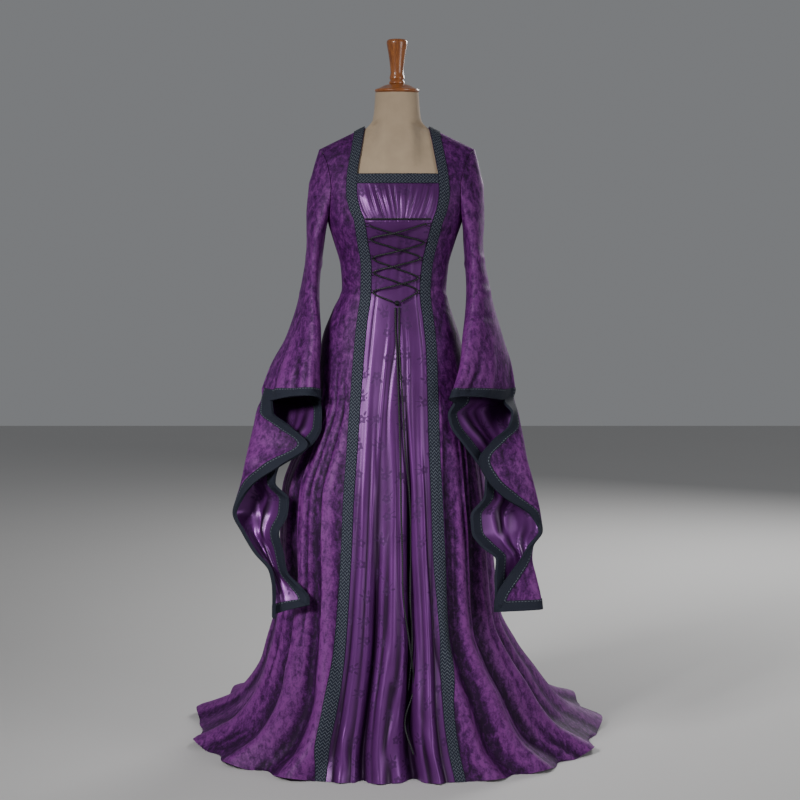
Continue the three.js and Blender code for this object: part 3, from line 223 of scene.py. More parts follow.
SATIN_CREASES = rows_of("low_at high_at low high depth width", [
    (0.07, 0.1, 20, 480, 3, 0.035),
    (0.22, 0.26, 120, 820, 3.5, 0.04),
    (0.5, 0.5, 1112, 1286, -2.4, 0.09),
    (0.27, 0.33, 1120, 1284, 1.8, 0.11),
    (0.74, 0.68, 1116, 1286, 1.8, 0.11),
    (0.66, 0.665, 10, 760, -12, 0.05),
    (0.32, 0.335, 10, 560, -8, 0.04),
    (0.2, 0.12, 4, 130, 5, 0.05),
    (0.5, 0.58, 4, 170, 6, 0.05),
    (0.86, 0.78, 4, 150, 5, 0.05),
    (0.28, 0.4, 620, 1085, 2.4, 0.035),
    (0.39, 0.42, 40, 560, -3.5, 0.035),
    (0.41, 0.47, 700, 1095, -2, 0.03),
    (0.53, 0.52, 260, 900, 3, 0.035),
    (0.58, 0.53, 820, 1100, 2.2, 0.03),
    (0.6, 0.57, 20, 420, 4, 0.03),
    (0.74, 0.64, 560, 1090, 2.6, 0.04),
    (0.76, 0.73, 30, 640, -4, 0.035),
    (0.92, 0.87, 120, 760, 3, 0.035),
    (0.93, 0.9, 900, 1180, -1.6, 0.04),
    (0.1, 0.13, 880, 1190, -1.6, 0.04),
])
# Short creases across the waist and bust: middle angle, height, length in degrees, rise, depth
WAIST_CREASES = rows_of("angle z reach rise depth", [
    (-66, 1158, 22, 20, 2.4),
    (-58, 1138, 26, 8, -2),
    (-72, 1112, 24, -10, 2.6),
    (-62, 1088, 20, -18, -2),
    (64, 1160, 22, 18, 2.2),
    (57, 1140, 26, 6, -2.2),
    (70, 1116, 24, -12, 2.6),
    (60, 1090, 20, -16, -1.8),
    (118, 1150, 26, 10, 2.4),
    (128, 1122, 28, -6, -2.2),
    (-120, 1146, 26, 12, 2.4),
    (-130, 1118, 28, -8, -2.2),
    (160, 1136, 20, 4, 1.8),
    (-162, 1132, 20, 4, 1.8),
])
WAIST_CREASE_HEIGHT = 13
WOBBLE_TOP = 1180
GATHER_COUNT = 13
GATHER_HEIGHT = 3.6
GATHER_FOOT_SPREAD = 0.62

SLEEVE_TUBES = {
    "right": rows_of("z x y long short turn", [
        (1250, -194, -6, 74, 22, 3),
        (1130, -208, -16, 72, 22, 8),
        (1015, -223, -37, 88, 32, 22),
        (950, -240, -49, 97, 41, 29),
        (870, -252, -60, 105, 51, 35),
    ]),
    "left": rows_of("z x y long short turn", [
        (1250, 182, -8, 74, 24, 3),
        (1130, 194, -19, 73, 28, 8),
        (1015, 204, -50, 92, 36, 25),
        (950, 208, -70, 104, 34, 33),
        (870, 202, -92, 118, 30, 40),
    ]),
}
SLEEVE_TAILS = {
    "right": rows_of("z outer_edge fold inner_edge near slant depth rise", [
        (840, -296, -332, -179, -141, 0.42, 98, 0),
        (808, -250, -338, -180, -147, 0.4, 90, 0),
        (772, -210, -346, -199, -152, 0.36, 80, 0),
        (722, -275, -357, -277, -152, 0.3, 62, 0),
        (678, -338, -367, -288, -147, 0.25, 54, 0),
        (638, -369, -379, -257, -143, 0.2, 58, 0),
        (604, -383, -388, -260, -146, 0.2, 60, 0),
        (560, -361, -365, -280, -152, 0.16, 48, 0),
        (516, -333, -337, -269, -161, 0.12, 44, 0),
        (472, -295, -299, -259, -173, 0.1, 36, 0),
        (432, -288, -291, -224, -186, 0.06, 30, 4),
        (394, -288, -290, -207, -198, 0.04, 26, 20),
        (370, -288, -290, -207, -202, 0.04, 26, 30),
    ]),
    "left": rows_of("z outer_edge fold inner_edge near slant depth rise", [
        (840, 275, 286, 122, -160, 0.44, 88, 0),
        (812, 268, 291, 129, -166, 0.42, 84, 0),
        (778, 226, 297, 153, -169, 0.4, 78, 0),
        (736, 194, 304, 184, -170, 0.34, 66, 0),
        (692, 212, 316, 209, -167, 0.28, 54, 0),
        (650, 250, 327, 206, -168, 0.24, 50, 0),
        (604, 318, 337, 175, -178, 0.2, 52, 0),
        (566, 337, 342, 178, -182, 0.18, 50, 0),
        (534, 311, 320, 200, -186, 0.14, 46, 0),
        (504, 291, 316, 234, -190, 0.12, 44, 0),
        (462, 258, 325, 231, -197, 0.1, 42, 0),
        (410, 229, 336, 231, -205, 0.07, 40, 4),
        (386, 228, 338, 230, -207, 0.06, 40, 8),
    ]),
}
# A tail's section: where a corner starts, its share of the way to the fold, and its share of the depth
TAIL_SECTION = [
    ("outer_edge", 0, 0),
    ("fold", 0, 0.22),
    ("fold", 0, 0.6),
    ("inner_edge", 0.72, 1),
    ("inner_edge", 0.34, 0.72),
    ("inner_edge", 0, 0.25),
]
OPENING_ENDS = {"right": (95, 310), "left": (115, 310)}
SLEEVE_BACK_CELLS = 12
SLEEVE_FRONT_CELLS = 5
FLAP_CELLS = 4
FOLD_SHARE = 0.3
SLEEVE_HEAD_ROWS = (0, 0.2, 0.48, 0.78)
SLEEVE_HEAD_BULGE = 12
ARMHOLE_GAP = 1.5
OPENING_ARCH = 18
WRIST_BLEND = 60
SLEEVE_ROW_STEP = 6
EDGE_WRAP = 1.8
STEEPEST_EDGE = 1.7
FINE_CELLS = 7
# Cells across the cuff, the size of one, and the most that one takes of a row's outer and inner part
CUFF_CELLS = 2
CUFF_STEP = 12
CUFF_OUTER_SHARE = 0.3
CUFF_INNER_SHARE = 0.2
CUFF_GAP = 0.6
LINING_GAP = 0.35
# In cuff widths, for an edge that a point of the cuff has nothing to do with, so that another is nearest
FAR = 9
# Creases of a sleeve: middle in degrees and height, reach in degrees and mm, lean, depth
SLEEVE_CREASES = rows_of("degrees z wide tall lean depth", [
    (20, 1235, 60, 9, 0.25, -2.6),
    (55, 1205, 55, 8, -0.2, 2.2),
    (350, 1180, 60, 9, 0.3, 2.6),
    (30, 1150, 70, 9, -0.25, -2.8),
    (70, 1125, 60, 8, 0.2, 2.4),
    (0, 1098, 70, 10, 0.25, 2.8),
    (40, 1070, 70, 9, -0.3, -2.6),
    (200, 1220, 60, 9, 0.2, 2.4),
    (230, 1160, 65, 9, -0.3, -2.6),
    (190, 1110, 60, 9, 0.25, 2.6),
    (280, 1190, 50, 8, 0.3, 2),
    (60, 1300, 50, 12, 0.5, -2),
    (100, 1380, 40, 14, 0.3, 2),
    (10, 1330, 40, 12, -0.6, 2),
])
# Creases of a sleeve's hanging part: low and high are rows below the wrist, the places are columns
TAIL_CREASES = rows_of("low high low_at high_at depth width", [
    (0, 5, 9.4, 8.2, -5, 0.7),
    (0, 4.4, 7.6, 7.0, 5, 0.7),
    (0.5, 6, 5.6, 6.3, -4, 0.6),
    (4.5, 11, 9.0, 7.4, -5, 0.7),
    (5, 10, 6.8, 8.6, 4, 0.6),
    (7, 12.4, 5.8, 6.6, -4, 0.6),
    (6, 12, 4.6, 5.2, 3, 0.5),
    (1.5, 8, 1.6, 2.6, 2.5, 0.6),
])
CREASE_LEAN = 0.6
CREASE_SOFTNESS = 5
BELL_TOP = 1040
BELL_GROWTH = 170
BELL_FOLDS = rows_of("degrees depth width", [
    (12, 8, 15), (48, -6, 13), (78, 7, 14), (150, 7, 17), (205, -7, 17), (255, 6, 15), (325, -6, 12),
])

LACE_TURNS = rows_of("right_x right_z left_x left_z", [
    (-62, 1284, 68, 1284),
    (-60, 1248, 62, 1246),
    (-55, 1209, 54, 1204),
    (-53, 1169, 49, 1162),
    (-55, 1128, 48, 1126),
])
LACE_BAR = {"height": 1297, "lift": 2.3, "stops": (-74, -40, 0, 40, 80)}
KNOT_HEIGHT = 1099
KNOT_RADIUS = 6
KNOT_DEPTH = 2.6
# A thread loop at a turn of the lace: share of the way to the turn, height from it, and lift off the cloth
LOOP_STOPS = [(0, 3.5, 0.9), (0.6, 3, 4.5), (1, 0, 7.6), (0.6, -3, 4.5), (0, -3.5, 0.9)]
LOOP_RADIUS = 0.75
LOOP_INSET = 1.5
LACE_LIFT = {"under": 4.4, "over": 8.8, "turn": 5}
FREE_ENDS = {
    "lace_end_first": [
        (-4, 1090, 4), (-3, 1040, 2.6), (0, 985, 2.4), (4, 876, 5), (5, 760, 6), (6, 645, 7),
        (8, 520, 8), (13, 416, 9), (19, 310, 12), (26, 207, 16), (36, 130, 18), (48, 62, 10),
    ],
    "lace_end_second": [
        (5, 1090, 4), (6, 1040, 2.7), (7, 985, 2.5), (11, 876, 5), (16, 760, 6), (23, 668, 7),
        (26, 600, 8), (25, 510, 9), (23, 416, 10), (27, 300, 11), (31, 200, 11),
    ],
}

FORM_ROWS = (FORM_FOOT, 905, 950, 1020, 1080, 1130, 1185, 1240, 1290)
FORM_UPPER = rows_of("z half front back", [
    (1340, 151, -110, 88),
    (1400, 158, -94, 86),
    (1436, 165, -84, 80),
    (1453, 167, -79, 74),
    (1464, 160, -75, 70),
    (1476, 142, -70, 66),
    (1488, 119, -64, 61),
    (1500, 94, -58, 57),
    (1512, 74, -54, 56),
    (1532, 58, -50, 55),
    (1560, 54, -47, 53),
    (NECK_TOP, 51.5, -45, 51),
])
FORM_INSET = 5.7
CHEST_INSET = 4.2
SHOULDER_SEAT = 2.3

# Turned pieces of the stand: slot, foot, middle y, steps round, and a profile of radius and height
CAP_FOOT = NECK_TOP + SEAM_GAP
CAP_HEIGHT = 20
TURNED_PIECES = {
    "neck_cap": ("wood", CAP_FOOT, NECK_MIDDLE_Y, 72, [
        (0, 0), (49, 0), (51, 1.2), (53, 4), (53, 6), (51.5, 8), (49, 9), (44, 10.5), (36, 14.6), (30, 17.4),
        (23, 19.4), (20, 19.9), (0, CAP_HEIGHT),
    ]),
    "neck_finial": ("wood", CAP_FOOT + CAP_HEIGHT + SEAM_GAP, NECK_MIDDLE_Y, 72, [
        (0, 0), (17.5, 0), (18.6, 1.5), (18.6, 4.5), (17.4, 6.5), (16, 9), (16.4, 11), (17.6, 13), (17.6, 16),
        (16.9, 19), (15.7, 23), (15.4, 28), (15.9, 36), (17, 47), (18.6, 60), (20.6, 73), (22.8, 85),
        (24.3, 94.4), (24.6, 98.4), (24, 101.4), (22.6, 103.4), (19.5, 105.2), (14, 106.1), (0, 106.4),
    ]),
    "stand_pole": ("steel", 12.3, 0, 48, [
        (0, 0), (13.4, 0), (14, 0.6), (14, 848.8), (13.4, 849.4), (0, 849.4),
    ]),
    "stand_base": ("steel", 0, 0, 96, [
        (0, 0), (168, 0), (170, 1.5), (170, 5), (168.5, 7.5), (164, 9.3), (158, 10), (100, 11.2), (40, 12),
        (0, 12),
    ]),
}

# Stage, in metres and watts
CAMERA_PLACE = (0.0072, -5.0, 1.30)
CAMERA_TILT = 85
LENS = 93.75
FLOOR_SIZE = 14
LIGHTS = [
    {"name": "key", "place": (-2.4, -3.3, 2.7), "size": 1.0, "power": 12, "spread": 45},
    {"name": "fill", "place": (3.0, -2.4, 1.5), "size": 1.6, "power": 36, "spread": 180},
    {"name": "back", "place": (1.9, 3.4, 2.5), "size": 1.4, "power": 90, "spread": 180},
]
LIGHT_TARGET = Vector((0, 0, 0.5))
SKY = (0.75, 0.77, 0.8, 1)
SKY_STRENGTH = 0.26


# Sizes and colours that a user would change

def length(name, text, value):
    return bpy.props.FloatProperty(name=name, description=text, default=value * MM, min=0, unit="LENGTH")


def colour(name, text, value):
    return bpy.props.FloatVectorProperty(
        name=name, description=text, default=value, size=3, min=0, max=1, subtype="COLOR")


class GownSizes(bpy.types.PropertyGroup):
    velvet: length("Velvet", "Thickness of the velvet", 1.5)
    satin: length("Satin", "Thickness of the satin", 1.2)
    lining: length("Lining", "Thickness of the sleeve lining", 1.0)
    braid: length("Braid", "Thickness of the braid", 1.2)
    cord_radius: length("Cord radius", "Half the thickness of the lacing cord", 2.1)
    thread_radius: length("Thread radius", "Half the thickness of the sewing thread", 0.32)
    stitch_length: length("Stitch length", "Length of one stitch", 2.6)


class GownColours(bpy.types.PropertyGroup):
    velvet_dark: colour("Velvet shade", "Velvet where its pile is crushed away", (0.018, 0.0007, 0.027))
    velvet_mid: colour("Velvet", "Velvet pile", (0.064, 0.0044, 0.088))
    velvet_lit: colour("Velvet sheen", "Velvet where its pile catches light", (0.172, 0.03, 0.2))
    satin_mid: colour("Satin", "Satin ground", (0.155, 0.03, 0.205))
    satin_dark: colour("Satin sprigs", "Woven sprigs on the satin", (0.045, 0.004, 0.068))
    braid_dark: colour("Braid", "Ground of the braid", (0.0095, 0.0125, 0.026))
    braid_fleck: colour("Braid flecks", "Lighter yarn in the braid", (0.15, 0.17, 0.2))
    braid_thread: colour("Braid thread", "Thread that sews the braid", (0.02, 0.026, 0.045))
    hem_thread: colour("Hem thread", "Thread that sews the hem", (0.03, 0.003, 0.05))
    cord: colour("Cord", "Lacing cord", (0.003, 0.0038, 0.0042))
    jersey: colour("Jersey", "Cover of the dress form", (0.46, 0.35, 0.24))
    wood_light: colour("Wood", "Varnished wood", (0.4, 0.13, 0.028))
    wood_dark: colour("Wood grain", "Darker grain", (0.15, 0.035, 0.007))
    steel: colour("Steel", "Pole and base", (0.25, 0.26, 0.28))
    floor: colour("Floor", "Plain studio floor", (0.62, 0.61, 0.6))


# Curves and surfaces

def monotone(at, value):
    """A curve through the rows of value that never swings past them."""
    step = np.diff(value, axis=0) / np.diff(at).reshape((-1,) + (1,) * (value.ndim - 1))
    slope = np.concatenate([step[:1], np.zeros_like(step[1:]), step[-1:]])
    total = step[:-1] + step[1:]
    same = step[:-1] * step[1:] > 0
    slope[1:-1] = np.where(same, 2 * step[:-1] * step[1:] / np.where(same, total, 1), 0)

    def curve(position):
        position = np.clip(position, at[0], at[-1])
        i = np.clip(np.searchsorted(at, position) - 1, 0, len(at) - 2)
        t = (position - at[i]) / (at[i + 1] - at[i])
        more = (1,) * (value.ndim - 1)
        span = (at[i + 1] - at[i]).reshape(np.shape(t) + more)
        t = np.reshape(t, np.shape(t) + more)
        rest = 1 - t
        return (value[i] * (1 + 2 * t) * rest * rest + slope[i] * span * t * rest * rest
                + value[i + 1] * t * t * (3 - 2 * t) - slope[i + 1] * span * t * t * rest)

    return curve


BODY = {name: monotone(BODY_SECTIONS["z"], BODY_SECTIONS[name])
        for name in ("middle", "half", "front", "side", "back")}
SEAM = {name: monotone(FRONT_SEAMS["z"], FRONT_SEAMS[name]) for name in SIDES}
armhole_x = monotone(ARMHOLE["share"], ARMHOLE["x"])


def lerp(a, b, t):
    return a + (b - a) * t


def smoothstep(value, low, high):
    t = np.clip((value - low) / (high - low), 0, 1)
    return t * t * (3 - 2 * t)


def shoulder_top(x):
    xs, tops = SHOULDER_LINE["x"], SHOULDER_LINE["top"]
    end = tops[1] + (x - xs[1]) * (tops[2] - tops[1]) / (xs[2] - xs[1])
    return np.where(x > xs[1], end, tops[0] + x * (tops[1] - tops[0]) / xs[1])


def round_power(value):
    return np.sign(value) * np.abs(value) ** (2 / ROUNDNESS)


def side_share(share):
    return np.maximum(0, 1 - np.abs(share) ** ROUNDNESS) ** (1 / ROUNDNESS)


def angle_at(x, z):
    share = np.clip((x - BODY["middle"](z)) / BODY["half"](z), -1, 1)
    return np.sign(share) * np.arcsin(np.abs(share) ** (ROUNDNESS / 2))


def soft_ridge(distance):
    return np.where(np.abs(distance) < 1, 0.5 + 0.5 * np.cos(np.pi * distance), 0)


def between(z, low, high):
    """Grows from nothing at low to one midway and back to nothing at high."""
    return np.where((z > low) & (z < high), np.sin(np.pi * np.clip((z - low) / (high - low), 0, 1)) ** 1.2, 0)


def growth(top, z):
    return np.clip((top - z) / top, 0, 1) ** 1.35


def turn_between(degrees, centre):
    return np.mod(degrees - centre + 540, 360) - 180


def by_row(table):
    for i in range(len(next(iter(table.values())))):
        yield {name: column[i] for name, column in table.items()}


def crease_relief(table, height, distance):
    """Creases that fade in and out between two heights, each with its middle on a slanting line."""
    relief = 0
    for crease in by_row(table):
        rise = np.clip((height - crease["low"]) / (crease["high"] - crease["low"]), 0, 1)
        away = distance(lerp(crease["low_at"], crease["high_at"], rise))
        shape = between(height, crease["low"], crease["high"]) * soft_ridge(away / crease["width"])
        relief = relief + crease["depth"] * shape
    return relief


def skirt_relief(angle, z):
    degrees = np.degrees(angle)
    relief = crease_relief(VELVET_CREASES, z, lambda at: turn_between(degrees, at))
    for fold in by_row(SKIRT_FOLDS):
        centre = lerp(fold["hem"], fold["start"], np.clip(z / fold["top"], 0, 1))
        away = turn_between(degrees, centre)
        relief = relief + fold["depth"] * growth(fold["top"], z) * soft_ridge(away / fold["width"])
    for crease in by_row(WAIST_CREASES):
        away = turn_between(degrees, crease["angle"]) / crease["reach"]
        height = z - crease["z"] - crease["rise"] * away
        relief = relief + crease["depth"] * soft_ridge(away) * soft_ridge(height / WAIST_CREASE_HEIGHT)
    clear_of_satin = smoothstep(np.abs(degrees), 20, 26)
    broad = 0.9 * np.sin(z / 41 + 5 * angle) * np.sin(z / 97 - 9 * angle)
    fine = 0.6 * np.sin(z / 23 + 17 * angle)
    return relief + (broad + fine) * clear_of_satin * growth(WOBBLE_TOP, z)


def satin_relief(angle, z):
    low = angle_at(SEAM["right"](z) + BRAID_HALF_WIDTH, z)
    high = angle_at(SEAM["left"](z) - BRAID_HALF_WIDTH, z)
    share = (angle - low) / (high - low)
    relief = crease_relief(SATIN_CREASES, z, lambda at: share - at)
    for fold in by_row(SATIN_FOLDS):
        away = (share - fold["share"]) / fold["width"]
        relief = relief + fold["depth"] * growth(fold["top"], z) * soft_ridge(away)
    return np.where((share > 0) & (share < 1), relief, 0)


def plain_ring(angle, z):
    side = BODY["side"](z)
    reach = np.where(np.cos(angle) > 0, side - BODY["front"](z), BODY["back"](z) - side)
    low = np.clip((TRAIN_LIFT_TOP - z) / TRAIN_LIFT_TOP, 0, 1)
    return np.stack(np.broadcast_arrays(
        BODY["middle"](z) + BODY["half"](z) * round_power(np.sin(angle)),
        side - reach * round_power(np.cos(angle)),
        z + TRAIN_LIFT * low * 0.5 * (1 - np.cos(angle)),
    ), -1)


def unit(vectors):
    size = np.linalg.norm(vectors, axis=-1, keepdims=True)
    return vectors / np.where(size > 0, size, 1)


def gown_ring(angle, z):
    """Points of the gown below the chest line, with folds and creases; the front is at angle 0."""
    angle, z = np.broadcast_arrays(np.asarray(angle, float), np.asarray(z, float))
    point = plain_ring(angle, z)
    along = plain_ring(angle + 0.02, z) - plain_ring(angle - 0.02, z)
    up = plain_ring(angle, z + 2) - plain_ring(angle, z - 2)
    out = unit(np.cross(along, up))
    relief = skirt_relief(angle, z) + satin_relief(angle, z)
    folded = point + out * relief[..., None]
    folded[..., 2] = np.maximum(folded[..., 2], z)
    return folded


def upper_point(x, z, facing, inset=(0, 0, 0)):
    """A point of the gown over the chest line, where front and back close on the shoulder line."""
    inset_side, inset_depth, inset_top = inset
    side = BODY["side"](z)
    reach = side - BODY["front"](z) if facing < 0 else BODY["back"](z) - side
    top = shoulder_top(np.abs(x)) - inset_top
    share = np.clip((z - CHEST_LINE) / (top - CHEST_LINE), 0, 1)
    across = side_share((x - BODY["middle"](z)) / (BODY["half"](z) - inset_side))
    depth = (reach - inset_depth) * across * np.sqrt(np.maximum(0, 1 - share * share))
    return np.stack(np.broadcast_arrays(x, side + facing * depth, z), -1)


def front_edge(side, z):
    shift = smoothstep(z, 1403, 1412) * BRAID_HALF_WIDTH
    return SEAM[side](z) - SIDES[side] * shift


def inner_height(share):
    return lerp(CHEST_LINE, NECK_POINT_HEIGHT, share)


def armhole_edge(side, share):
    x = SIDES[side] * armhole_x(share) + (1 - share) * BODY["middle"](CHEST_LINE)
    return x, lerp(CHEST_LINE, shoulder_top(np.abs(x)), share)


def upper_row(across, inner_x, inner_z, outer_x, outer_z, facing):
    along = (across - inner_x) / (outer_x - inner_x)
    z = lerp(inner_z, outer_z, along)
    points = upper_point(across, z, facing)
    relief = 1.6 * np.sin(across / 21 + z / 34) * np.sin(z / 27) * smoothstep(z, 1290, 1330)
    fade = smoothstep(1.0 - along, 0, 0.25) * smoothstep(along, 0.1, 0.3)
    points[..., 1] += facing * (SEAM_GAP / 2 + relief * fade)
    return points


LOWER_HEIGHTS = np.concatenate([np.linspace(CHEST_LINE, 60, 172), np.linspace(56, 1, 16)])
UPPER_SHARES = np.sin(np.linspace(np.pi / 2, 0, 40))[:-1]


def normals_of(grid):
    down = np.gradient(grid, axis=0)
    across = np.gradient(grid, axis=1)
    return unit(np.cross(across, down))


def body_normals(grid):
    """Normals of a grid on the body, turned away from the body's middle."""
    normals = normals_of(grid)
    z = grid[..., 2]
    centre = np.stack([BODY["middle"](z), BODY["side"](z), z], -1)
    return normals * np.sign(np.sum(normals * (grid - centre)))


def sleeve_normals(grid, row_at, split):
    """Normals of a sleeve, turned away from the middle of its closed rows."""
    normals = normals_of(grid)
    closed = row_at < split - 0.5
    centre = grid[closed].mean(axis=1, keepdims=True)
    return normals * np.sign(np.sum(normals[closed] * (grid[closed] - centre)))


def front_panel_grid(side):
    sign = SIDES[side]
    columns = np.linspace(0, 1, 61)
    z = LOWER_HEIGHTS[:, None]
    first = angle_at(front_edge(side, z) + sign * FRONT_SEAM_HALF_GAP, z)
    last = sign * (np.pi / 2 - SEAM_GAP / 2 / BODY["half"](z))
    lower = gown_ring(lerp(first, last, columns), z)
    return np.concatenate([shoulder_rows(side, lower[0, :, 0], -1), lower])


def shoulder_rows(side, chest_x, facing):
    """Rows of a panel from the chest line up to the shoulder seam."""
    spread = (chest_x - chest_x[0]) / (chest_x[-1] - chest_x[0])
    share = UPPER_SHARES[:, None]
    outer_x, outer_z = armhole_edge(side, share)
    if facing < 0:
        inner_z = inner_height(share)
        inner_x = front_edge(side, inner_z) + SIDES[side] * FRONT_SEAM_HALF_GAP
    else:
        inner_x, inner_z = back_neckline(share)
        inner_x = SIDES[side] * np.maximum(inner_x, SEAM_GAP / 2)
    return upper_row(lerp(inner_x, outer_x, spread), inner_x, inner_z, outer_x, outer_z, facing)


def back_neckline(share):
    """The back panels' inner edge: up the centre seam, then round the neck."""
    turn = np.clip((share - NECK_TURN) / (1 - NECK_TURN), 0, 1) * np.pi / 2
    x = NECK_POINT_X * np.sin(turn)
    drop = NECK_POINT_HEIGHT - BACK_NECK_HEIGHT
    z = np.where(share <= NECK_TURN, lerp(CHEST_LINE, BACK_NECK_HEIGHT, share / NECK_TURN),
                 NECK_POINT_HEIGHT - drop * np.cos(turn))
    return x, z


def back_panel_grid(side):
    sign = SIDES[side]
    columns = np.linspace(0, 1, 73)
    z = LOWER_HEIGHTS[:, None]
    half = BODY["half"](z)
    first = sign * (np.pi - SEAM_GAP / 2 / half)
    last = sign * (np.pi / 2 + SEAM_GAP / 2 / half)
    lower = gown_ring(lerp(first, last, columns), z)
    return np.concatenate([shoulder_rows(side, lower[0, :, 0], 1), lower])


def satin_skirt_grid():
    z = LOWER_HEIGHTS[:, None]
    first = angle_at(SEAM["right"](z) + FRONT_SEAM_HALF_GAP, z)
    last = angle_at(SEAM["left"](z) - FRONT_SEAM_HALF_GAP, z)
    return gown_ring(lerp(first, last, np.linspace(0, 1, 111)), z)


def bodice_grid():
    z = np.linspace(inner_height(0.5), CHEST_LINE + SEAM_GAP, 40)[:, None]
    share = np.linspace(0, 1, GATHER_COUNT * 14 + 1)[None, :]
    first = SEAM["right"](z) + FRONT_SEAM_HALF_GAP
    last = SEAM["left"](z) - FRONT_SEAM_HALF_GAP
    rise = np.clip((z - CHEST_LINE) / (NECK_BRAID_FOOT - CHEST_LINE), 0, 1)
    height = GATHER_HEIGHT * np.sin(np.pi * rise) ** 0.7
    spread = lerp(GATHER_FOOT_SPREAD, 1, rise)
    far = 2 * share - 1
    lean = 0.5 * np.sign(far) * np.abs(far) ** 5
    x = lerp(first, last, 0.5 + (share - 0.5) * spread + lean * (1 - spread))
    points = upper_point(x, z, -1)
    edge = np.sin(np.pi * share) ** 0.3
    phase = 2 * np.pi * GATHER_COUNT * share + 0.9 * np.sin(11 * share + 3 * rise)
    uneven = 0.62 + 0.38 * np.sin(29 * share + 2.5 * rise)
    fine = 0.18 * np.sin(2.3 * phase + 1.4) * uneven
    valley = np.clip((0.5 + 0.5 * np.cos(phase)) * uneven + fine, 0, 1)
    points[..., 1] += height * edge * valley
    return points


def front_braid_grid(side):
    offsets = np.linspace(-BRAID_HALF_WIDTH, BRAID_HALF_WIDTH, 9)
    z = LOWER_HEIGHTS[:, None]
    lower = gown_ring(angle_at(SEAM[side](z) + offsets, z), z)
    share = UPPER_SHARES[:, None]
    inner_z = inner_height(share)
    inner_x = front_edge(side, inner_z) + SIDES[side] * FRONT_SEAM_HALF_GAP
    outer_x, outer_z = armhole_edge(side, share)
    upper = upper_row(SEAM[side](inner_z) + offsets, inner_x, inner_z, outer_x, outer_z, -1)
    return np.concatenate([upper, lower])


def neck_braid_front_grid():
    z = np.linspace(BODICE_TOP, NECK_BRAID_FOOT, 9)[:, None]
    reach = BRAID_HALF_WIDTH + SEAM_GAP
    x = lerp(SEAM["right"](z) + reach, SEAM["left"](z) - reach, np.linspace(0, 1, 61))
    return upper_point(x, z, -1)


def neck_braid_back_grid():
    grow = np.linspace(0, 2 * BRAID_HALF_WIDTH, 9)[:, None]
    turn = np.linspace(-np.pi / 2, np.pi / 2, 81)[None, :]
    x = (NECK_POINT_X + grow) * np.sin(turn)
    z = NECK_POINT_HEIGHT - (NECK_POINT_HEIGHT - BACK_NECK_HEIGHT + grow) * np.cos(turn)
    points = upper_point(x, np.minimum(z, shoulder_top(np.abs(x))), 1)
    points[..., 1] += SEAM_GAP / 2
    return points


# Sleeves

def ellipse_points(row, sign, degrees, z):
    """Points round a closed section of the sleeve."""
    turn, angle = np.radians(row["turn"]), np.radians(degrees)
    along, across = row["long"] * np.cos(angle), row["short"] * np.sin(angle)
    return np.stack(np.broadcast_arrays(
        row["x"] + sign * (-along * np.sin(turn) + across * np.cos(turn)),
        row["y"] - along * np.cos(turn) - across * np.sin(turn),
        z,
    ), -1)


def centripetal(points, samples=400):
    """Samples of a centripetal curve through the points."""
    points = np.asarray(points, float)
    padded = np.concatenate([[2 * points[0] - points[1]], points, [2 * points[-1] - points[-2]]])
    out = []
    count = len(points) - 1
    for i in range(count):
        p = padded[i:i + 4]
        gaps = np.maximum(np.linalg.norm(np.diff(p, axis=0), axis=1) ** 0.5, 1e-4)
        t = np.concatenate([[0], np.cumsum(gaps)])
        s = np.linspace(t[1], t[2], samples // count, endpoint=i == count - 1)[:, None]
        a = [lerp(p[k], p[k + 1], (s - t[k]) / (t[k + 1] - t[k])) for k in range(3)]
        b = [lerp(a[k], a[k + 1], (s - t[k]) / (t[k + 2] - t[k])) for k in range(2)]
        out.append(lerp(b[0], b[1], (s - t[1]) / (t[2] - t[1])))
    return np.concatenate(out)


def lengths_along(points):
    return np.concatenate([[0], np.cumsum(np.linalg.norm(np.diff(points, axis=0), axis=1))])


def tail_row(row, slopes, column):
    """One row of a sleeve's hanging part, from its free outer edge round the fold to its inner edge."""
    sign = np.sign(row["fold"])
    corners = []
    for start, share, layer in TAIL_SECTION:
        x = lerp(row[start], row["fold"], share)
        y = row["near"] + row["slant"] * sign * (x - row["inner_edge"]) + layer * row["depth"]
        corners.append((x, y))
    line = centripetal(corners)
    at = lengths_along(line)
    total = at[-1]
    turn = at[int(FOLD_SHARE * (len(at) - 1))]
    first = min(CUFF_STEP * slopes[0], turn * CUFF_OUTER_SHARE)
    last = min(CUFF_STEP * slopes[1], (total - turn) * CUFF_INNER_SHARE)
    inside = SLEEVE_BACK_CELLS - CUFF_CELLS
    stops = [0, CUFF_CELLS, FLAP_CELLS, inside, SLEEVE_BACK_CELLS]
    where = np.interp(column, stops, [0, CUFF_CELLS * first, turn, total - CUFF_CELLS * last, total])
    share = where / total
    return np.stack([np.interp(where, at, line[:, 0]), np.interp(where, at, line[:, 1]),
                     row["z"] + row["rise"] * share], -1)


def edge_slopes(table, name):
    """Each row's edge length over its height, so that the cuff keeps its width where it slants."""
    z, x = table["z"], table[name]
    above = np.maximum(np.arange(len(z)) - 1, 0)
    below = np.minimum(np.arange(len(z)) + 1, len(z) - 1)
    return np.minimum(np.hypot(1, (x[above] - x[below]) / (z[above] - z[below])), STEEPEST_EDGE)


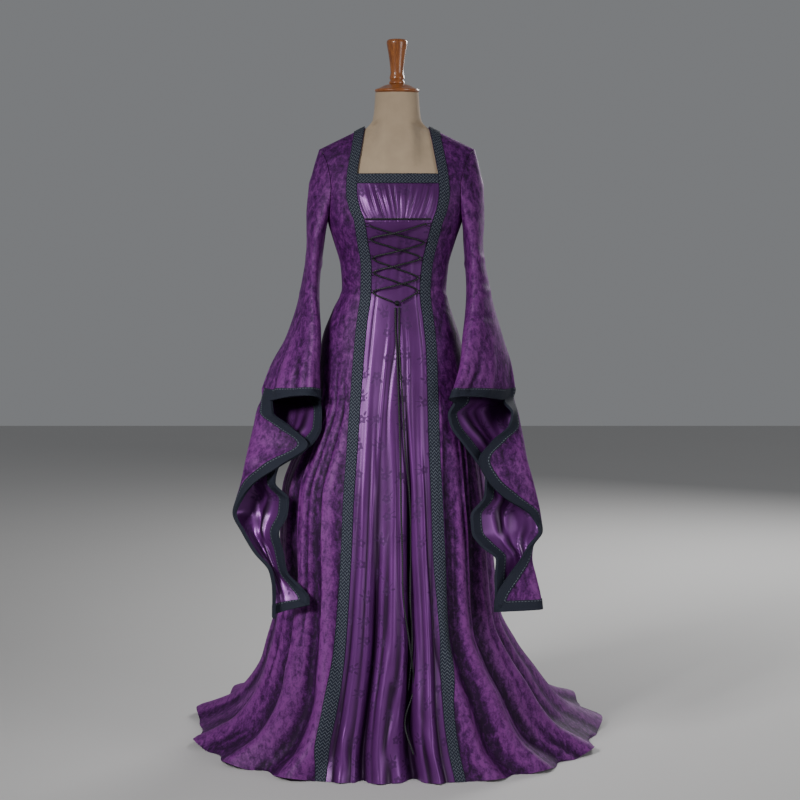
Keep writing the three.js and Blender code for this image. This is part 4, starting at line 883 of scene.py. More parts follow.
def sleeve_grid(side):
    """The sleeve's outside, with the row and column of the source that each point stands for."""
    sign = SIDES[side]
    outer, inner = OPENING_ENDS[side]
    cells = SLEEVE_BACK_CELLS + SLEEVE_FRONT_CELLS
    columns = np.linspace(0, cells, cells * FINE_CELLS + 1)
    degrees = np.interp(columns, [0, SLEEVE_BACK_CELLS, columns[-1]], [outer, inner, outer + 360])
    tube = SLEEVE_TUBES[side]
    curves = {name: monotone(tube["z"][::-1], tube[name][::-1]) for name in tube if name != "z"}

    def section(z):
        return {name: curve(np.float64(z)) for name, curve in curves.items()}

    share = 0.5 + 0.5 * np.sin(np.radians(degrees))
    hole_x, hole_z = armhole_edge(side, share)
    start = np.where((np.cos(np.radians(degrees)) >= 0)[:, None],
                     upper_point(hole_x, hole_z, -1), upper_point(hole_x, hole_z, 1))
    start[:, 1] = np.where(share > 0.999, BODY["side"](hole_z), start[:, 1])
    start[:, 0] += sign * ARMHOLE_GAP
    top = ellipse_points(section(tube["z"][0]), sign, degrees, tube["z"][0])
    raised = np.maximum(0, np.sin(np.radians(degrees)))
    rows = []
    for head in SLEEVE_HEAD_ROWS:
        row = lerp(start, top, head)
        row[:, 0] += sign * SLEEVE_HEAD_BULGE * raised * np.sin(np.pi * head)
        rows.append(row)
    wrist = tube["z"][-1]
    front = np.maximum(0, columns - SLEEVE_BACK_CELLS) / SLEEVE_FRONT_CELLS
    for z in [*tube["z"][:-1], wrist + 2 * CUFF_STEP, wrist + CUFF_STEP, wrist]:
        near = np.clip(1 - (z - wrist) / WRIST_BLEND, 0, 1)
        arch = OPENING_ARCH * np.sin(np.pi * front) * near
        rows.append(ellipse_points(section(z), sign, degrees, z + arch))
    split = len(rows) - 1
    tails = SLEEVE_TAILS[side]
    slopes = np.stack([edge_slopes(tails, "outer_edge"), edge_slopes(tails, "inner_edge")], 1)
    back = columns <= SLEEVE_BACK_CELLS
    for row, slope in zip(by_row(tails), slopes):
        tail = tail_row(row, slope, columns[back])
        shift_in, shift_out = tail[-1] - rows[split][back][-1], tail[0] - rows[split][0]
        rest = rows[split][~back] + lerp(shift_in, shift_out, front[~back, None])
        rows.append(np.concatenate([tail, rest]))
    rows = np.array(rows)
    gaps = np.linalg.norm(np.diff(rows, axis=0), axis=-1).mean(axis=1)
    at = np.concatenate([[0], np.cumsum(gaps)])
    where = np.concatenate([np.linspace(a, b, max(2, int((b - a) / SLEEVE_ROW_STEP)), endpoint=False)
                            for a, b in zip(at, at[1:])] + [at[-1:]])
    grid = monotone(at, rows)(where)
    row_at = np.interp(where, at, np.arange(len(at)))
    grid = crease_sleeve(grid, columns, degrees, sign, row_at, split)
    return grid, row_at, columns, split


def past_edges(grid, row_at, columns, split):
    """The sleeve with its free edges moved a little outwards, for the braid that wraps them."""
    moved = grid.copy()
    below = row_at > split + 1e-6
    fold = int(np.searchsorted(columns, SLEEVE_BACK_CELLS - 1e-6))
    arch = int(np.searchsorted(row_at, split - 1e-6))
    moved[below, 0] += unit(grid[below, 0] - grid[below, 1]) * EDGE_WRAP
    moved[below, fold] += unit(grid[below, fold] - grid[below, fold - 1]) * EDGE_WRAP
    moved[arch, fold + 1:-1] += unit(grid[arch, fold + 1:-1] - grid[arch - 1, fold + 1:-1]) * EDGE_WRAP
    moved[-1] += unit(grid[-1] - grid[-2]) * EDGE_WRAP
    return moved


def crease_sleeve(grid, columns, degrees, sign, row_at, split):
    """The sleeve's grid with the creases of its arm, its bell and its hanging part."""
    z = grid[..., 2]
    row = (row_at - split)[:, None]
    relief = crease_relief(TAIL_CREASES, row, lambda at: columns[None, :] - at)
    for crease in by_row(SLEEVE_CREASES):
        away = turn_between(degrees, crease["degrees"])[None, :]
        height = z - crease["z"] - crease["lean"] * away * CREASE_LEAN * sign
        across = soft_ridge(away / crease["wide"])
        relief = relief + crease["depth"] * across * soft_ridge(height / (crease["tall"] + CREASE_SOFTNESS))
    bell = smoothstep(BELL_TOP - z, 0, BELL_GROWTH) * smoothstep(split - row_at, 0, 1.5)[:, None]
    for fold in by_row(BELL_FOLDS):
        away = turn_between(degrees, fold["degrees"])[None, :]
        relief = relief + fold["depth"] * bell * soft_ridge(away / fold["width"])
    return grid + sleeve_normals(grid, row_at, split) * relief[..., None]


# Meshes

def deselect():
    bpy.ops.object.select_all(action="DESELECT")


def fold_shade(grid, normals):
    """Painted shade for the cloth's colour: 0 deep in a fold and 1 on its crest, from how far its neighbours
    stand in front of each point.

    Past the edges the grid is carried on straight, so that both sides of a seam are shaded alike.
    """
    shade = np.full(grid.shape[:2], 0.5)
    for reach, full in ((2, 5), (5, 22)):
        before_first = 2 * grid[:, :1] - grid[:, reach:0:-1]
        past_last = 2 * grid[:, -1:] - grid[:, -2:-2 - reach:-1]
        wide = np.concatenate([before_first, grid, past_last], axis=1)
        middle = (wide[:, :-2 * reach] + wide[:, 2 * reach:]) / 2
        shade -= np.sum((middle - grid) * normals, -1) / full
    return np.clip(shade, 0, 1)


def new_object(name, points, faces, uv=None, shade=None):
    mesh = bpy.data.meshes.new(name)
    faces = faces if isinstance(faces, list) else faces.tolist()
    mesh.from_pydata((points * MM).tolist(), [], faces)
    # The fold attribute holds painted fold shade: the cloth colours turn darker in fold valleys and lighter
    # on crests.
    if shade is not None:
        mesh.attributes.new("fold", "FLOAT", "POINT").data.foreach_set("value", shade.astype(np.float32))
    if uv is not None:
        layer = mesh.uv_layers.new(name="cloth")
        corner = np.empty(len(mesh.loops), int)
        mesh.loops.foreach_get("vertex_index", corner)
        layer.data.foreach_set("uv", np.asarray(uv)[corner].astype(np.float32).ravel())
    mesh.update()
    obj = bpy.data.objects.new(name, mesh)
    bpy.context.scene.collection.objects.link(obj)
    return obj


def finish_piece(obj, material, nodes, slot, angle=50):
    """Smooths a piece, gives it its material and ties it to the frame."""
    deselect()
    obj.select_set(True)
    bpy.context.view_layer.objects.active = obj
    bpy.ops.object.shade_smooth_by_angle(angle=math.radians(angle))
    obj.data.materials.clear()
    obj.data.materials.append(material)
    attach(obj, "root")
    if nodes:
        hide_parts(*nodes)
    return obj


def cloth_uv(grid):
    """Metres across each row from its middle, and metres down the middle column."""
    across = np.linalg.norm(np.diff(grid, axis=1), axis=-1)
    across = np.concatenate([np.zeros((len(grid), 1)), np.cumsum(across, axis=1)], axis=1)
    across -= across[:, [across.shape[1] // 2]]
    down = lengths_along(grid[:, grid.shape[1] // 2])[:, None]
    return np.stack(np.broadcast_arrays(across * MM, -down * MM), -1)


def shell(name, grid, normals, outer, inner, uv, mask=None, joined=None):
    """A closed thin wall over the chosen cells of a grid, between two distances from its outside."""
    rows, columns = grid.shape[:2]
    mask = np.ones((rows - 1, columns - 1), bool) if mask is None else mask
    joined = np.zeros(rows - 1, bool) if joined is None else joined
    layers = [grid + normals * np.asarray(d)[..., None] for d in (outer, inner)]
    points = np.concatenate([layer.reshape(-1, 3) for layer in layers])
    points[:, 2] = np.maximum(points[:, 2], FLOOR_CLEARANCE)
    index = np.arange(rows * columns).reshape(rows, columns)
    corners = np.stack([index[:-1, :-1], index[1:, :-1], index[1:, 1:], index[:-1, 1:]], -1)
    down = grid[1:, :-1] - grid[:-1, :-1]
    across = grid[:-1, 1:] - grid[:-1, :-1]
    ahead = np.sum((np.cross(down, across) * normals[:-1, :-1])[mask]) > 0
    below = rows * columns
    top = corners[mask]
    faces = [top if ahead else top[:, ::-1], (top[:, ::-1] if ahead else top) + below]
    beyond = {
        0: np.concatenate([np.where(joined, mask[:, -1], False)[:, None], mask[:, :-1]], 1),
        1: np.concatenate([mask[1:], np.zeros_like(mask[:1])]),
        2: np.concatenate([mask[:, 1:], np.where(joined, mask[:, 0], False)[:, None]], 1),
        3: np.concatenate([np.zeros_like(mask[:1]), mask[:-1]]),
    }
    for k, present in beyond.items():
        edge = corners[mask & ~present]
        a, b = edge[:, k], edge[:, (k + 1) % 4]
        rim = np.stack([b, a, a + below, b + below], 1)
        faces.append(rim if ahead else rim[:, ::-1])
    faces = np.concatenate(faces)
    used, compact = np.unique(faces, return_inverse=True)
    flat_uv = np.concatenate([uv.reshape(-1, 2)] * 2)[used]
    # Painted fold shade for the cloth's colour, stored on every point of both faces.
    shade = np.concatenate([fold_shade(grid, normals).ravel()] * 2)[used]
    return new_object(name, points[used], compact.reshape(faces.shape), flat_uv, shade)


def merge_close(obj, distance=1e-6):
    made = bmesh.new()
    made.from_mesh(obj.data)
    bmesh.ops.remove_doubles(made, verts=made.verts, dist=distance)
    made.to_mesh(obj.data)
    made.free()


def tube(name, line, radius, sides=10, merge_ends=True):
    """A round cord along the points of a line."""
    line = np.asarray(line, float)
    ahead = unit(np.gradient(line, axis=0))
    normal = np.zeros_like(line)
    guide = np.array([0, -1.0, 0.2])
    for i, direction in enumerate(ahead):
        guide = guide - direction * guide.dot(direction)
        guide /= np.linalg.norm(guide)
        normal[i] = guide
    other = np.cross(ahead, normal)
    turn = np.linspace(0, 2 * np.pi, sides, endpoint=False)
    size = np.full(len(line), float(radius))
    if merge_ends:
        size[[0, -1]] *= 0.6
    rings = line[:, None] + size[:, None, None] * (
        np.cos(turn)[None, :, None] * normal[:, None] + np.sin(turn)[None, :, None] * other[:, None])
    count = len(line)
    points = np.concatenate([rings.reshape(-1, 3), line[[0, -1]]])
    index = np.arange(count * sides).reshape(count, sides)
    side_by = np.roll(index, -1, axis=1)
    faces = np.stack([index[:-1], side_by[:-1], side_by[1:], index[1:]], -1).reshape(-1, 4).tolist()
    for k in range(sides):
        faces.append([count * sides, int(side_by[0, k]), int(index[0, k])])
        faces.append([count * sides + 1, int(index[-1, k]), int(side_by[-1, k])])
    along = lengths_along(line) * MM
    around = np.abs(np.linspace(0, 2, sides, endpoint=False) - 1)
    uv = np.stack(np.broadcast_arrays(around[None, :], along[:, None]), -1).reshape(-1, 2)
    uv = np.concatenate([uv, [[0, along[0]], [0, along[-1]]]])
    return new_object(name, points, faces, uv)


def even_points(line, step):
    line = np.asarray(line, float)
    at = lengths_along(line)
    where = np.linspace(0, at[-1], max(2, int(round(at[-1] / step)) + 1))
    return np.stack([np.interp(where, at, line[:, i]) for i in range(line.shape[1])], -1)


def stitch_row(lines, spacing, length_mm, radius):
    """Points and faces of a row of small stitches along lines of points."""
    points, faces = [], []
    shape = np.array([(-1, 0, 0), (0, 1, 0), (0, 0, 1), (0, -1, 0), (0, 0, -1), (1, 0, 0)], float)
    facets = [(0, 2, 1), (0, 3, 2), (0, 4, 3), (0, 1, 4), (5, 1, 2), (5, 2, 3), (5, 3, 4), (5, 4, 1)]
    for line in lines:
        even = even_points(line, spacing)
        ahead = unit(np.gradient(even, axis=0))
        for place, direction in zip(even[:-1], ahead[:-1]):
            side = unit(np.cross(direction, (0.13, 0.97, 0.2)))
            third = np.cross(direction, side)
            start = len(points) * len(shape)
            axes = np.array([direction * length_mm / 2, side * radius, third * radius])
            points.append(place + shape @ axes)
            faces.extend([start + a, start + b, start + c] for a, b, c in facets)
    return np.concatenate(points), faces


def lathe(name, profile, middle_y, steps):
    """A turned piece: its profile, drawn as radius and height, is spun round an upright line."""
    points = [(radius * MM, middle_y * MM, height * MM) for radius, height in profile]
    mesh = bpy.data.meshes.new(name)
    mesh.from_pydata(points, [(i, i + 1) for i in range(len(points) - 1)], [])
    obj = bpy.data.objects.new(name, mesh)
    bpy.context.scene.collection.objects.link(obj)
    deselect()
    obj.select_set(True)
    bpy.context.view_layer.objects.active = obj
    bpy.ops.object.mode_set(mode="EDIT")
    bpy.ops.mesh.select_all(action="SELECT")
    bpy.ops.mesh.spin(steps=steps, angle=2 * math.pi, center=(0, middle_y * MM, 0), axis=(0, 0, 1))
    bpy.ops.mesh.select_all(action="SELECT")
    bpy.ops.mesh.remove_doubles(threshold=1e-5)
    bpy.ops.mesh.normals_make_consistent(inside=False)
    bpy.ops.object.mode_set(mode="OBJECT")
    return obj


# Materials

class Value:
    """A socket that takes part in Python arithmetic."""

    def __init__(self, finish, socket):
        self.finish = finish
        self.socket = socket

    def math(self, operation, *others):
        return self.finish.node("ShaderNodeMath", {"operation": operation}, [self, *others]).value()

    def __add__(self, other):
        return self.math("ADD", other)

    def __sub__(self, other):
        return self.math("SUBTRACT", other)

    def __rsub__(self, other):
        return (self * -1) + other

    def __mul__(self, other):
        return self.math("MULTIPLY", other)

    def __truediv__(self, other):
        return self.math("DIVIDE", other)

    __radd__ = __add__
    __rmul__ = __mul__

    def wave(self):
        """From 0 to 1 and back once for each whole step of the value."""
        return (self * (2 * math.pi)).math("COSINE") * -0.5 + 0.5

    def rise(self, low, high):
        """From 0 at low to 1 at high, softly."""
        settings = {"interpolation_type": "SMOOTHSTEP"}
        inputs = {"Value": self, "From Min": low, "From Max": high}
        return self.finish.node("ShaderNodeMapRange", settings, inputs).value()


class Made:
    """A node, and its outputs by name."""

    def __init__(self, finish, node):
        self.finish = finish
        self.node = node

    def value(self, name=0):
        return Value(self.finish, self.node.outputs[name])


class Finish:
    """A material made of nodes."""

    def __init__(self, name):
        self.material = bpy.data.materials.new(name)
        self.material.use_nodes = True
        self.tree = self.material.node_tree
        self.shader = self.tree.nodes["Principled BSDF"]

    def node(self, kind, settings, inputs):
        made = self.tree.nodes.new(kind)
        for name, value in settings.items():
            if name == "stops":
                for i, (position, tint) in enumerate(value):
                    stop = made.color_ramp.elements[i] if i < 2 else made.color_ramp.elements.new(position)
                    stop.position = position
                    stop.color = (*tint, 1)
            else:
                setattr(made, name, value)
        pairs = enumerate(inputs) if isinstance(inputs, list) else inputs.items()
        for name, value in pairs:
            self.join(made.inputs[name], value)
        return Made(self, made)

    def join(self, socket, value):
        if isinstance(value, Value):
            self.tree.links.new(value.socket, socket)
        elif socket.type == "RGBA" and len(value) == 3:
            socket.default_value = (*value, 1)
        else:
            socket.default_value = value

    def place(self, scale=(1, 1, 1), turn=(0, 0, 0), cloth=False):
        where = self.node("ShaderNodeTexCoord", {}, []).value("UV" if cloth else "Object")
        inputs = {"Vector": where, "Scale": scale, "Rotation": turn}
        return self.node("ShaderNodeMapping", {}, inputs).value()

    def noise(self, where, scale, detail=4, roughness=0.55, distortion=0):
        inputs = {"Vector": where, "Scale": scale, "Detail": detail, "Roughness": roughness,
                  "Distortion": distortion}
        return self.node("ShaderNodeTexNoise", {}, inputs).value("Fac")

    def ramp(self, value, stops):
        return self.node("ShaderNodeValToRGB", {"stops": stops}, [value]).value("Color")

    def mix(self, factor, first, second):
        made = self.node("ShaderNodeMix", {"data_type": "RGBA"}, {"Factor": factor})
        self.join(made.node.inputs[6], first)
        self.join(made.node.inputs[7], second)
        return made.value(2)

    def vector(self, operation, *values, output=0):
        return self.node("ShaderNodeVectorMath", {"operation": operation}, list(values)).value(output)

    def fold(self):
        """The painted fold shade that the cloth's mesh holds: 0 deep in a fold and 1 on its crest."""
        return self.node("ShaderNodeAttribute", {"attribute_name": "fold"}, []).value("Fac")

    def split(self, where):
        made = self.node("ShaderNodeSeparateXYZ", {}, [where])
        return made.value("X"), made.value("Y")

    def bump(self, height, distance, strength=1.0):
        inputs = {"Height": height, "Distance": distance, "Strength": strength}
        return self.node("ShaderNodeBump", {}, inputs).value("Normal")

    def set(self, **values):
        for name, value in values.items():
            self.join(self.shader.inputs[name.replace("_", " ")], value)
        return self.material


def velvet_finish(colours):
    finish = Finish("crushed_velvet")
    where = finish.place()
    stretched = finish.place(scale=(1, 1, 0.62))
    cloud = finish.noise(stretched, 14, 2, 0.5, 0.4)
    blotch = finish.noise(stretched, 82, 4, 0.6, 0.5)
    crush = finish.noise(where, 210, 3, 0.6, 0.4)
    pile = finish.noise(where, 1400, 2)
    # Random crushed-pile mottle plus painted shade: darker in fold valleys and lighter on fold crests.
    mottle_and_fold_shade = blotch * 0.6 + crush * 0.28 + cloud * 0.16 + (finish.fold() - 0.5) * 0.2
    tint = finish.ramp(mottle_and_fold_shade, [
        (0.4, colours.velvet_dark), (0.68, colours.velvet_lit), (0.52, colours.velvet_mid)])
    height = blotch * 0.5 + crush * 0.3 + pile * 0.12
    return finish.set(
        Base_Color=tint, Roughness=0.85 - mottle_and_fold_shade * 0.45, Normal=finish.bump(height, 0.0012, 0.45),
        Sheen_Weight=0.2, Sheen_Roughness=0.35, Sheen_Tint=(0.45, 0.1, 0.55), Specular_IOR_Level=0.25)


def satin_finish(colours):
    finish = Finish("flowered_satin")
    where = finish.place(cloth=True)
    bent = finish.noise(where, 9, 2)
    cells = finish.node("ShaderNodeTexVoronoi", {"voronoi_dimensions": "2D"},
                        {"Vector": where, "Scale": 18, "Randomness": 0.6})
    chance = finish.split(cells.value("Color"))[0]
    local = finish.vector("SUBTRACT", where, cells.value("Position"))
    turned = finish.node("ShaderNodeVectorRotate", {"rotation_type": "Z_AXIS"},
                         {"Vector": local, "Angle": chance * 6.28}).value()
    across, up = finish.split(turned)
    angle = up.math("ARCTAN2", across)
    reach = finish.vector("LENGTH", local, output=1)
    petals = blob(reach - 0.0068, 0.0042, (angle * 2.5).math("SINE") * reach * 0.4, 0.0032)
    leaf_left = blob(across * 0.8 + up * 0.6 - 0.0165, 0.006, up * 0.8 - across * 0.6, 0.0028)
    leaf_right = blob(across * 0.8 - up * 0.6 - 0.0165, 0.006, across * 0.6 + up * 0.8, 0.0028)
    stem = blob(across - 0.017, 0.0085, up, 0.0012)
    sprig = petals.math("MAXIMUM", leaf_left).math("MAXIMUM", leaf_right).math("MAXIMUM", stem)
    sprig = sprig * chance.rise(0.2, 0.24)
    weave = finish.noise(finish.place(scale=(1, 0.12, 1), cloth=True), 2600, 1)
    slub = finish.noise(finish.place(scale=(1, 0.06, 1), cloth=True), 260, 2)
    ground = finish.mix(bent.rise(0.35, 0.65), colours.satin_mid, scaled(colours.satin_mid, 0.82))
    # Painted shade: the satin turns much darker deep in its folds.
    cloth = finish.mix(finish.fold().rise(-0.05, 0.8), scaled(colours.satin_mid, 0.16), ground)
    tint = finish.mix(sprig * 0.66, cloth, colours.satin_dark)
    height = weave * 0.3 + slub * 0.2 - sprig * 0.4
    return finish.set(
        Base_Color=tint, Roughness=sprig * 0.2 + slub * 0.1 + 0.3, Normal=finish.bump(height, 0.0004, 0.4),
        Metallic=0.45, Specular_IOR_Level=0.5, Anisotropic=0.3)


def scaled(tint, share):
    """A colour scaled by a share: darker below one and lighter above."""
    return tuple(part * share for part in tint)


def blob(first, first_reach, second, second_reach):
    """One inside a small soft oval, and nothing outside it."""
    a, b = first / first_reach, second / second_reach
    return 1 - (a * a + b * b).rise(0.7, 1.2)


def braid_finish(colours):
    """Herringbone: u runs across from 0 to 1, v along in metres."""
    finish = Finish("herringbone_braid")
    across, along = finish.split(finish.place(cloth=True))
    zigzag = (across * 3).math("PINGPONG", 0.5) * 2
    step = along / 0.0082 + zigzag * 0.9
    yarn = step.wave()
    strand = (across * 3 * 4).wave()
    fuzz = finish.noise(finish.place(cloth=True, scale=(0.025, 1, 1)), 900, 2)
    # Painted shade along the braid's edges: the light flecks fade out there, leaving the dark ground; the
    # same mask also raises the bump.
    edge = (across - 0.5).math("ABSOLUTE").rise(0.43, 0.49)
    fleck = yarn.rise(0.62, 0.9) * (fuzz * 1.3).rise(0.45, 0.75) * (1 - edge)
    tint = finish.mix(fleck * 0.8, colours.braid_dark, colours.braid_fleck)
    height = yarn * 0.7 + strand * 0.15 + fuzz * 0.25 + edge * 0.5
    return finish.set(Base_Color=tint, Roughness=0.82 - fleck * 0.15,
                      Normal=finish.bump(height, 0.0009, 0.8), Specular_IOR_Level=0.3)


def cuff_finish(colours):
    """Plain ribbed braid with a row of stitches along its inner edge: u is 0 at the free edge."""
    finish = Finish("ribbed_braid")
    across, along = finish.split(finish.place(cloth=True))
    rib = (along / 0.0024 + across * 0.8).wave()
    band = (across * 5).wave()
    fuzz = finish.noise(finish.place(cloth=True, scale=(0.024, 1, 1)), 800, 2)
    row = (1 - (across - 0.87).math("ABSOLUTE").rise(0.022, 0.04)) * (along / 0.0075).wave().rise(0.35, 0.5)
    tint = finish.mix(row * 0.75 + rib * fuzz * 0.12, scaled(colours.braid_dark, 0.9), colours.braid_fleck)
    height = rib * 0.6 + band * 0.3 + row * 0.7 + fuzz * 0.2
    return finish.set(Base_Color=tint, Roughness=0.8, Specular_IOR_Level=0.3,
                      Normal=finish.bump(height, 0.0007, 0.7))


def cord_finish(colours):
    finish = Finish("twisted_cord")
    around, along = finish.split(finish.place(cloth=True))
    ply = (around * 0.5 + along / 0.0052).wave()
    fuzz = finish.noise(finish.place(), 900, 2)
    tint = finish.mix(ply * 0.55 * fuzz, colours.cord, scaled(colours.cord, 5))
    return finish.set(Base_Color=tint, Roughness=0.62 - ply * 0.2,
                      Normal=finish.bump(ply * 0.8 + fuzz * 0.2, 0.0006, 0.8))


def jersey_finish(colours):
    finish = Finish("form_jersey")
    where = finish.place()
    knit = finish.noise(finish.place(scale=(1, 1, 0.35)), 1500, 1)
    soft = finish.noise(where, 14, 3)
    tint = finish.mix(soft.rise(0.3, 0.7), colours.jersey, scaled(colours.jersey, 0.86))
    return finish.set(Base_Color=tint, Roughness=0.94 - knit * 0.06, Normal=finish.bump(knit, 0.0004, 0.5),
                      Specular_IOR_Level=0.2, Sheen_Weight=0.2, Sheen_Roughness=0.5)


def wood_finish(colours):
    finish = Finish("varnished_wood")
    where = finish.place(scale=(1, 1, 0.16))
    grain = finish.noise(where, 120, 5, 0.6, 1.2)
    pore = finish.noise(finish.place(scale=(1, 1, 0.05)), 700, 2)
    tint = finish.ramp(grain * 0.8 + pore * 0.2, [(0.32, colours.wood_dark), (0.62, colours.wood_light)])
    return finish.set(Base_Color=tint, Roughness=0.42 - grain * 0.15, Normal=finish.bump(pore, 0.0002, 0.3),
                      Coat_Weight=0.5, Coat_Roughness=0.12)


def steel_finish(colours):
    finish = Finish("painted_steel")
    wear = finish.noise(finish.place(), 30, 5, 0.6)
    brush = finish.noise(finish.place(scale=(1, 1, 0.02)), 900, 2)
    tint = finish.mix(wear.rise(0.4, 0.7) * 0.4, colours.steel, scaled(colours.steel, 0.6))
    return finish.set(Base_Color=tint, Metallic=0.9, Roughness=0.34 + brush * 0.18,
                      Normal=finish.bump(brush, 0.0001, 0.3))


def thread_finish(name, tint):
    """Twisted sewing thread of one colour."""
    finish = Finish(name)
    twist = finish.noise(finish.place(), 1200, 1)
    return finish.set(Base_Color=finish.mix(twist, tint, scaled(tint, 0.5)), Roughness=0.6)


def floor_finish(colours):
    finish = Finish("studio_floor")
    soft = finish.noise(finish.place(), 1.5, 2)
    return finish.set(Base_Color=finish.mix(soft, colours.floor, scaled(colours.floor, 0.97)), Roughness=0.9)


FINISHES = {
    "velvet": velvet_finish,
    "satin": satin_finish,
    "braid": braid_finish,
    "cuff": cuff_finish,
    "cord": cord_finish,
    "jersey": jersey_finish,
    "wood": wood_finish,
    "steel": steel_finish,
    "floor": floor_finish,
    "navy_thread": lambda colours: thread_finish("navy_thread", colours.braid_thread),
    "purple_thread": lambda colours: thread_finish("purple_thread", colours.hem_thread),
}
made_finishes = {}


def material(name):
    if name not in made_finishes:
        colours = bpy.context.scene.gown_colours
        plain = {key: tuple(getattr(colours, key)) for key in GownColours.__annotations__}
        made_finishes[name] = FINISHES[name](SimpleNamespace(**plain))
    return made_finishes[name]


def thickness(name):
    return getattr(bpy.context.scene.gown_sizes, name) / MM


def panel(name, grid, wall, slot):
    """A panel of the gown's body: a thin wall over its grid that rests on the form."""
    obj = shell(name + "_cloth", grid, body_normals(grid), 0, -wall, cloth_uv(grid))
    finish_piece(obj, material(slot), [name], slot)


# Operators

class GOWN_OT_stage(bpy.types.Operator):
    """Camera at the photo's place, pale floor and soft light"""

    bl_idname = "gown.stage"
    bl_label = "Stage"

    def execute(self, context):
        camera = bpy.data.cameras.new("view")
        camera.lens = LENS
        camera.sensor_width = 36
        camera_object = bpy.data.objects.new("view", camera)
        camera_object.location = CAMERA_PLACE
        camera_object.rotation_euler = (math.radians(CAMERA_TILT), 0, 0)
        context.scene.collection.objects.link(camera_object)
        context.scene.camera = camera_object
        deselect()
        bpy.ops.mesh.primitive_plane_add(size=FLOOR_SIZE, location=(0, 1, 0))
        floor = context.active_object
        floor.name = "studio_floor"
        floor.data.materials.append(material("floor"))
        for row in LIGHTS:
            light = bpy.data.lights.new(row["name"], "AREA")
            light.size = row["size"]
            light.energy = row["power"]
            light.spread = math.radians(row["spread"])
            obj = bpy.data.objects.new(row["name"], light)
            obj.location = row["place"]
            obj.rotation_euler = (LIGHT_TARGET - obj.location).to_track_quat("-Z", "Y").to_euler()
            context.scene.collection.objects.link(obj)
        world = bpy.data.worlds.new("studio")
        world.use_nodes = True
        background = world.node_tree.nodes["Background"]
        background.inputs["Color"].default_value = SKY
        background.inputs["Strength"].default_value = SKY_STRENGTH
        context.scene.world = world
        return {"FINISHED"}


class GOWN_OT_cords(bpy.types.Operator):
    """Lacing cord: bar, crossings, knot, the two free ends and the thread loops that hold it"""

    bl_idname = "gown.cords"
    bl_label = "Lacing"

    def execute(self, context):
        radius = thickness("cord_radius")
        bar = centripetal([on_front(x, LACE_BAR["height"], LACE_BAR["lift"]) for x in LACE_BAR["stops"]])
        self.make("lace_bar", bar, radius)
        self.make("lace_first", centripetal(lace_route(True)), radius)
        self.make("lace_second", centripetal(lace_route(False)), radius)
        self.knot(radius)
        for name, stops in FREE_ENDS.items():
            line = even_points(centripetal([on_front(*stop) for stop in stops], 1200), 3)
            obj = tube(name + "_cord", line, radius, 12)
            finish_piece(obj, material("cord"), [name], "cord", 60)
            path = line * MM
            lengths_along(path)[-1]
            2 * radius * MM
        self.loops()
        return {"FINISHED"}

    def make(self, name, line, radius):
        obj = tube(name + "_cord", even_points(line, 2), radius, 12)
        finish_piece(obj, material("cord"), [name], "cord", 60)

    def knot(self, radius):
        """Two small turns of the cord wound over each other."""
        centre = on_front(0, KNOT_HEIGHT, KNOT_RADIUS + 1)
        turn = np.linspace(0, 2 * np.pi, 120)
        line = np.stack([
            centre[0] + (KNOT_RADIUS - 1.4) * (0.62 * np.sin(turn) + 0.38 * np.sin(3 * turn)),
            centre[1] + KNOT_DEPTH * np.cos(2 * turn),
            centre[2] + (KNOT_RADIUS - 1.8) * np.cos(turn) * (0.8 + 0.2 * np.cos(2 * turn)),
        ], -1)
        obj = tube("lace_knot_cord", line, radius, 10, merge_ends=False)
        finish_piece(obj, material("cord"), ["lace_knot"], "cord", 60)

    def loops(self):
        """A loop of thread at each turn, sewn into the seam beside the braid."""
        lines = []
        for row in by_row(LACE_TURNS):
            for side in SIDES:
                x, z = row[side + "_x"], row[side + "_z"]
                foot = SEAM[side](z) - SIDES[side] * (BRAID_HALF_WIDTH - LOOP_INSET)
                near = x - SIDES[side] * LOOP_INSET
                stops = [on_front(lerp(foot, near, share), z + rise, lift)
                         for share, rise, lift in LOOP_STOPS]
                lines.append(centripetal(stops, 40))
        made = [tube(f"lace_loop_{i}", line, LOOP_RADIUS, 6) for i, line in enumerate(lines)]
        deselect()
        for obj in made:
            obj.select_set(True)
        bpy.context.view_layer.objects.active = made[0]
        bpy.ops.object.join()
        made[0].name = "lace_loops"
        finish_piece(made[0], material("cord"), [], "cord", 60)


def on_front(x, z, lift):
    """A point in front of the gown's outside."""
    h = 1.0

    def surface(px, pz):
        px, pz = np.float64(px), np.float64(pz)
        return upper_point(px, pz, -1) if pz > CHEST_LINE else gown_ring(angle_at(px, pz), pz)

    out = unit(np.cross(surface(x + h, z) - surface(x - h, z), surface(x, z + h) - surface(x, z - h)))
    return surface(x, z) + out * lift


def lace_route(starts_left):
    """Points of one lace, from side to side down the bodice and into the knot."""
    points = []
    turns = list(by_row(LACE_TURNS))
    for i, turn in enumerate(turns):
        on_left = (i % 2 == 0) == starts_left
        side = "left" if on_left else "right"
        x, z = turn[side + "_x"], turn[side + "_z"] + (3 if starts_left else -3)
        if i > 0:
            over = (i % 2 == 1) == starts_left
            lift = LACE_LIFT["over" if over else "under"]
            points.append(on_front((last[0] + x) / 2, (last[1] + z) / 2, lift))
        points.append(on_front(x, z, LACE_LIFT["turn"]))
        last = points[-1][0], z
    side = 1 if (len(turns) % 2 == 1) == starts_left else -1
    points.append(on_front(side * (KNOT_RADIUS + 2.9), KNOT_HEIGHT + 3, LACE_LIFT["turn"] + 2))
    return points


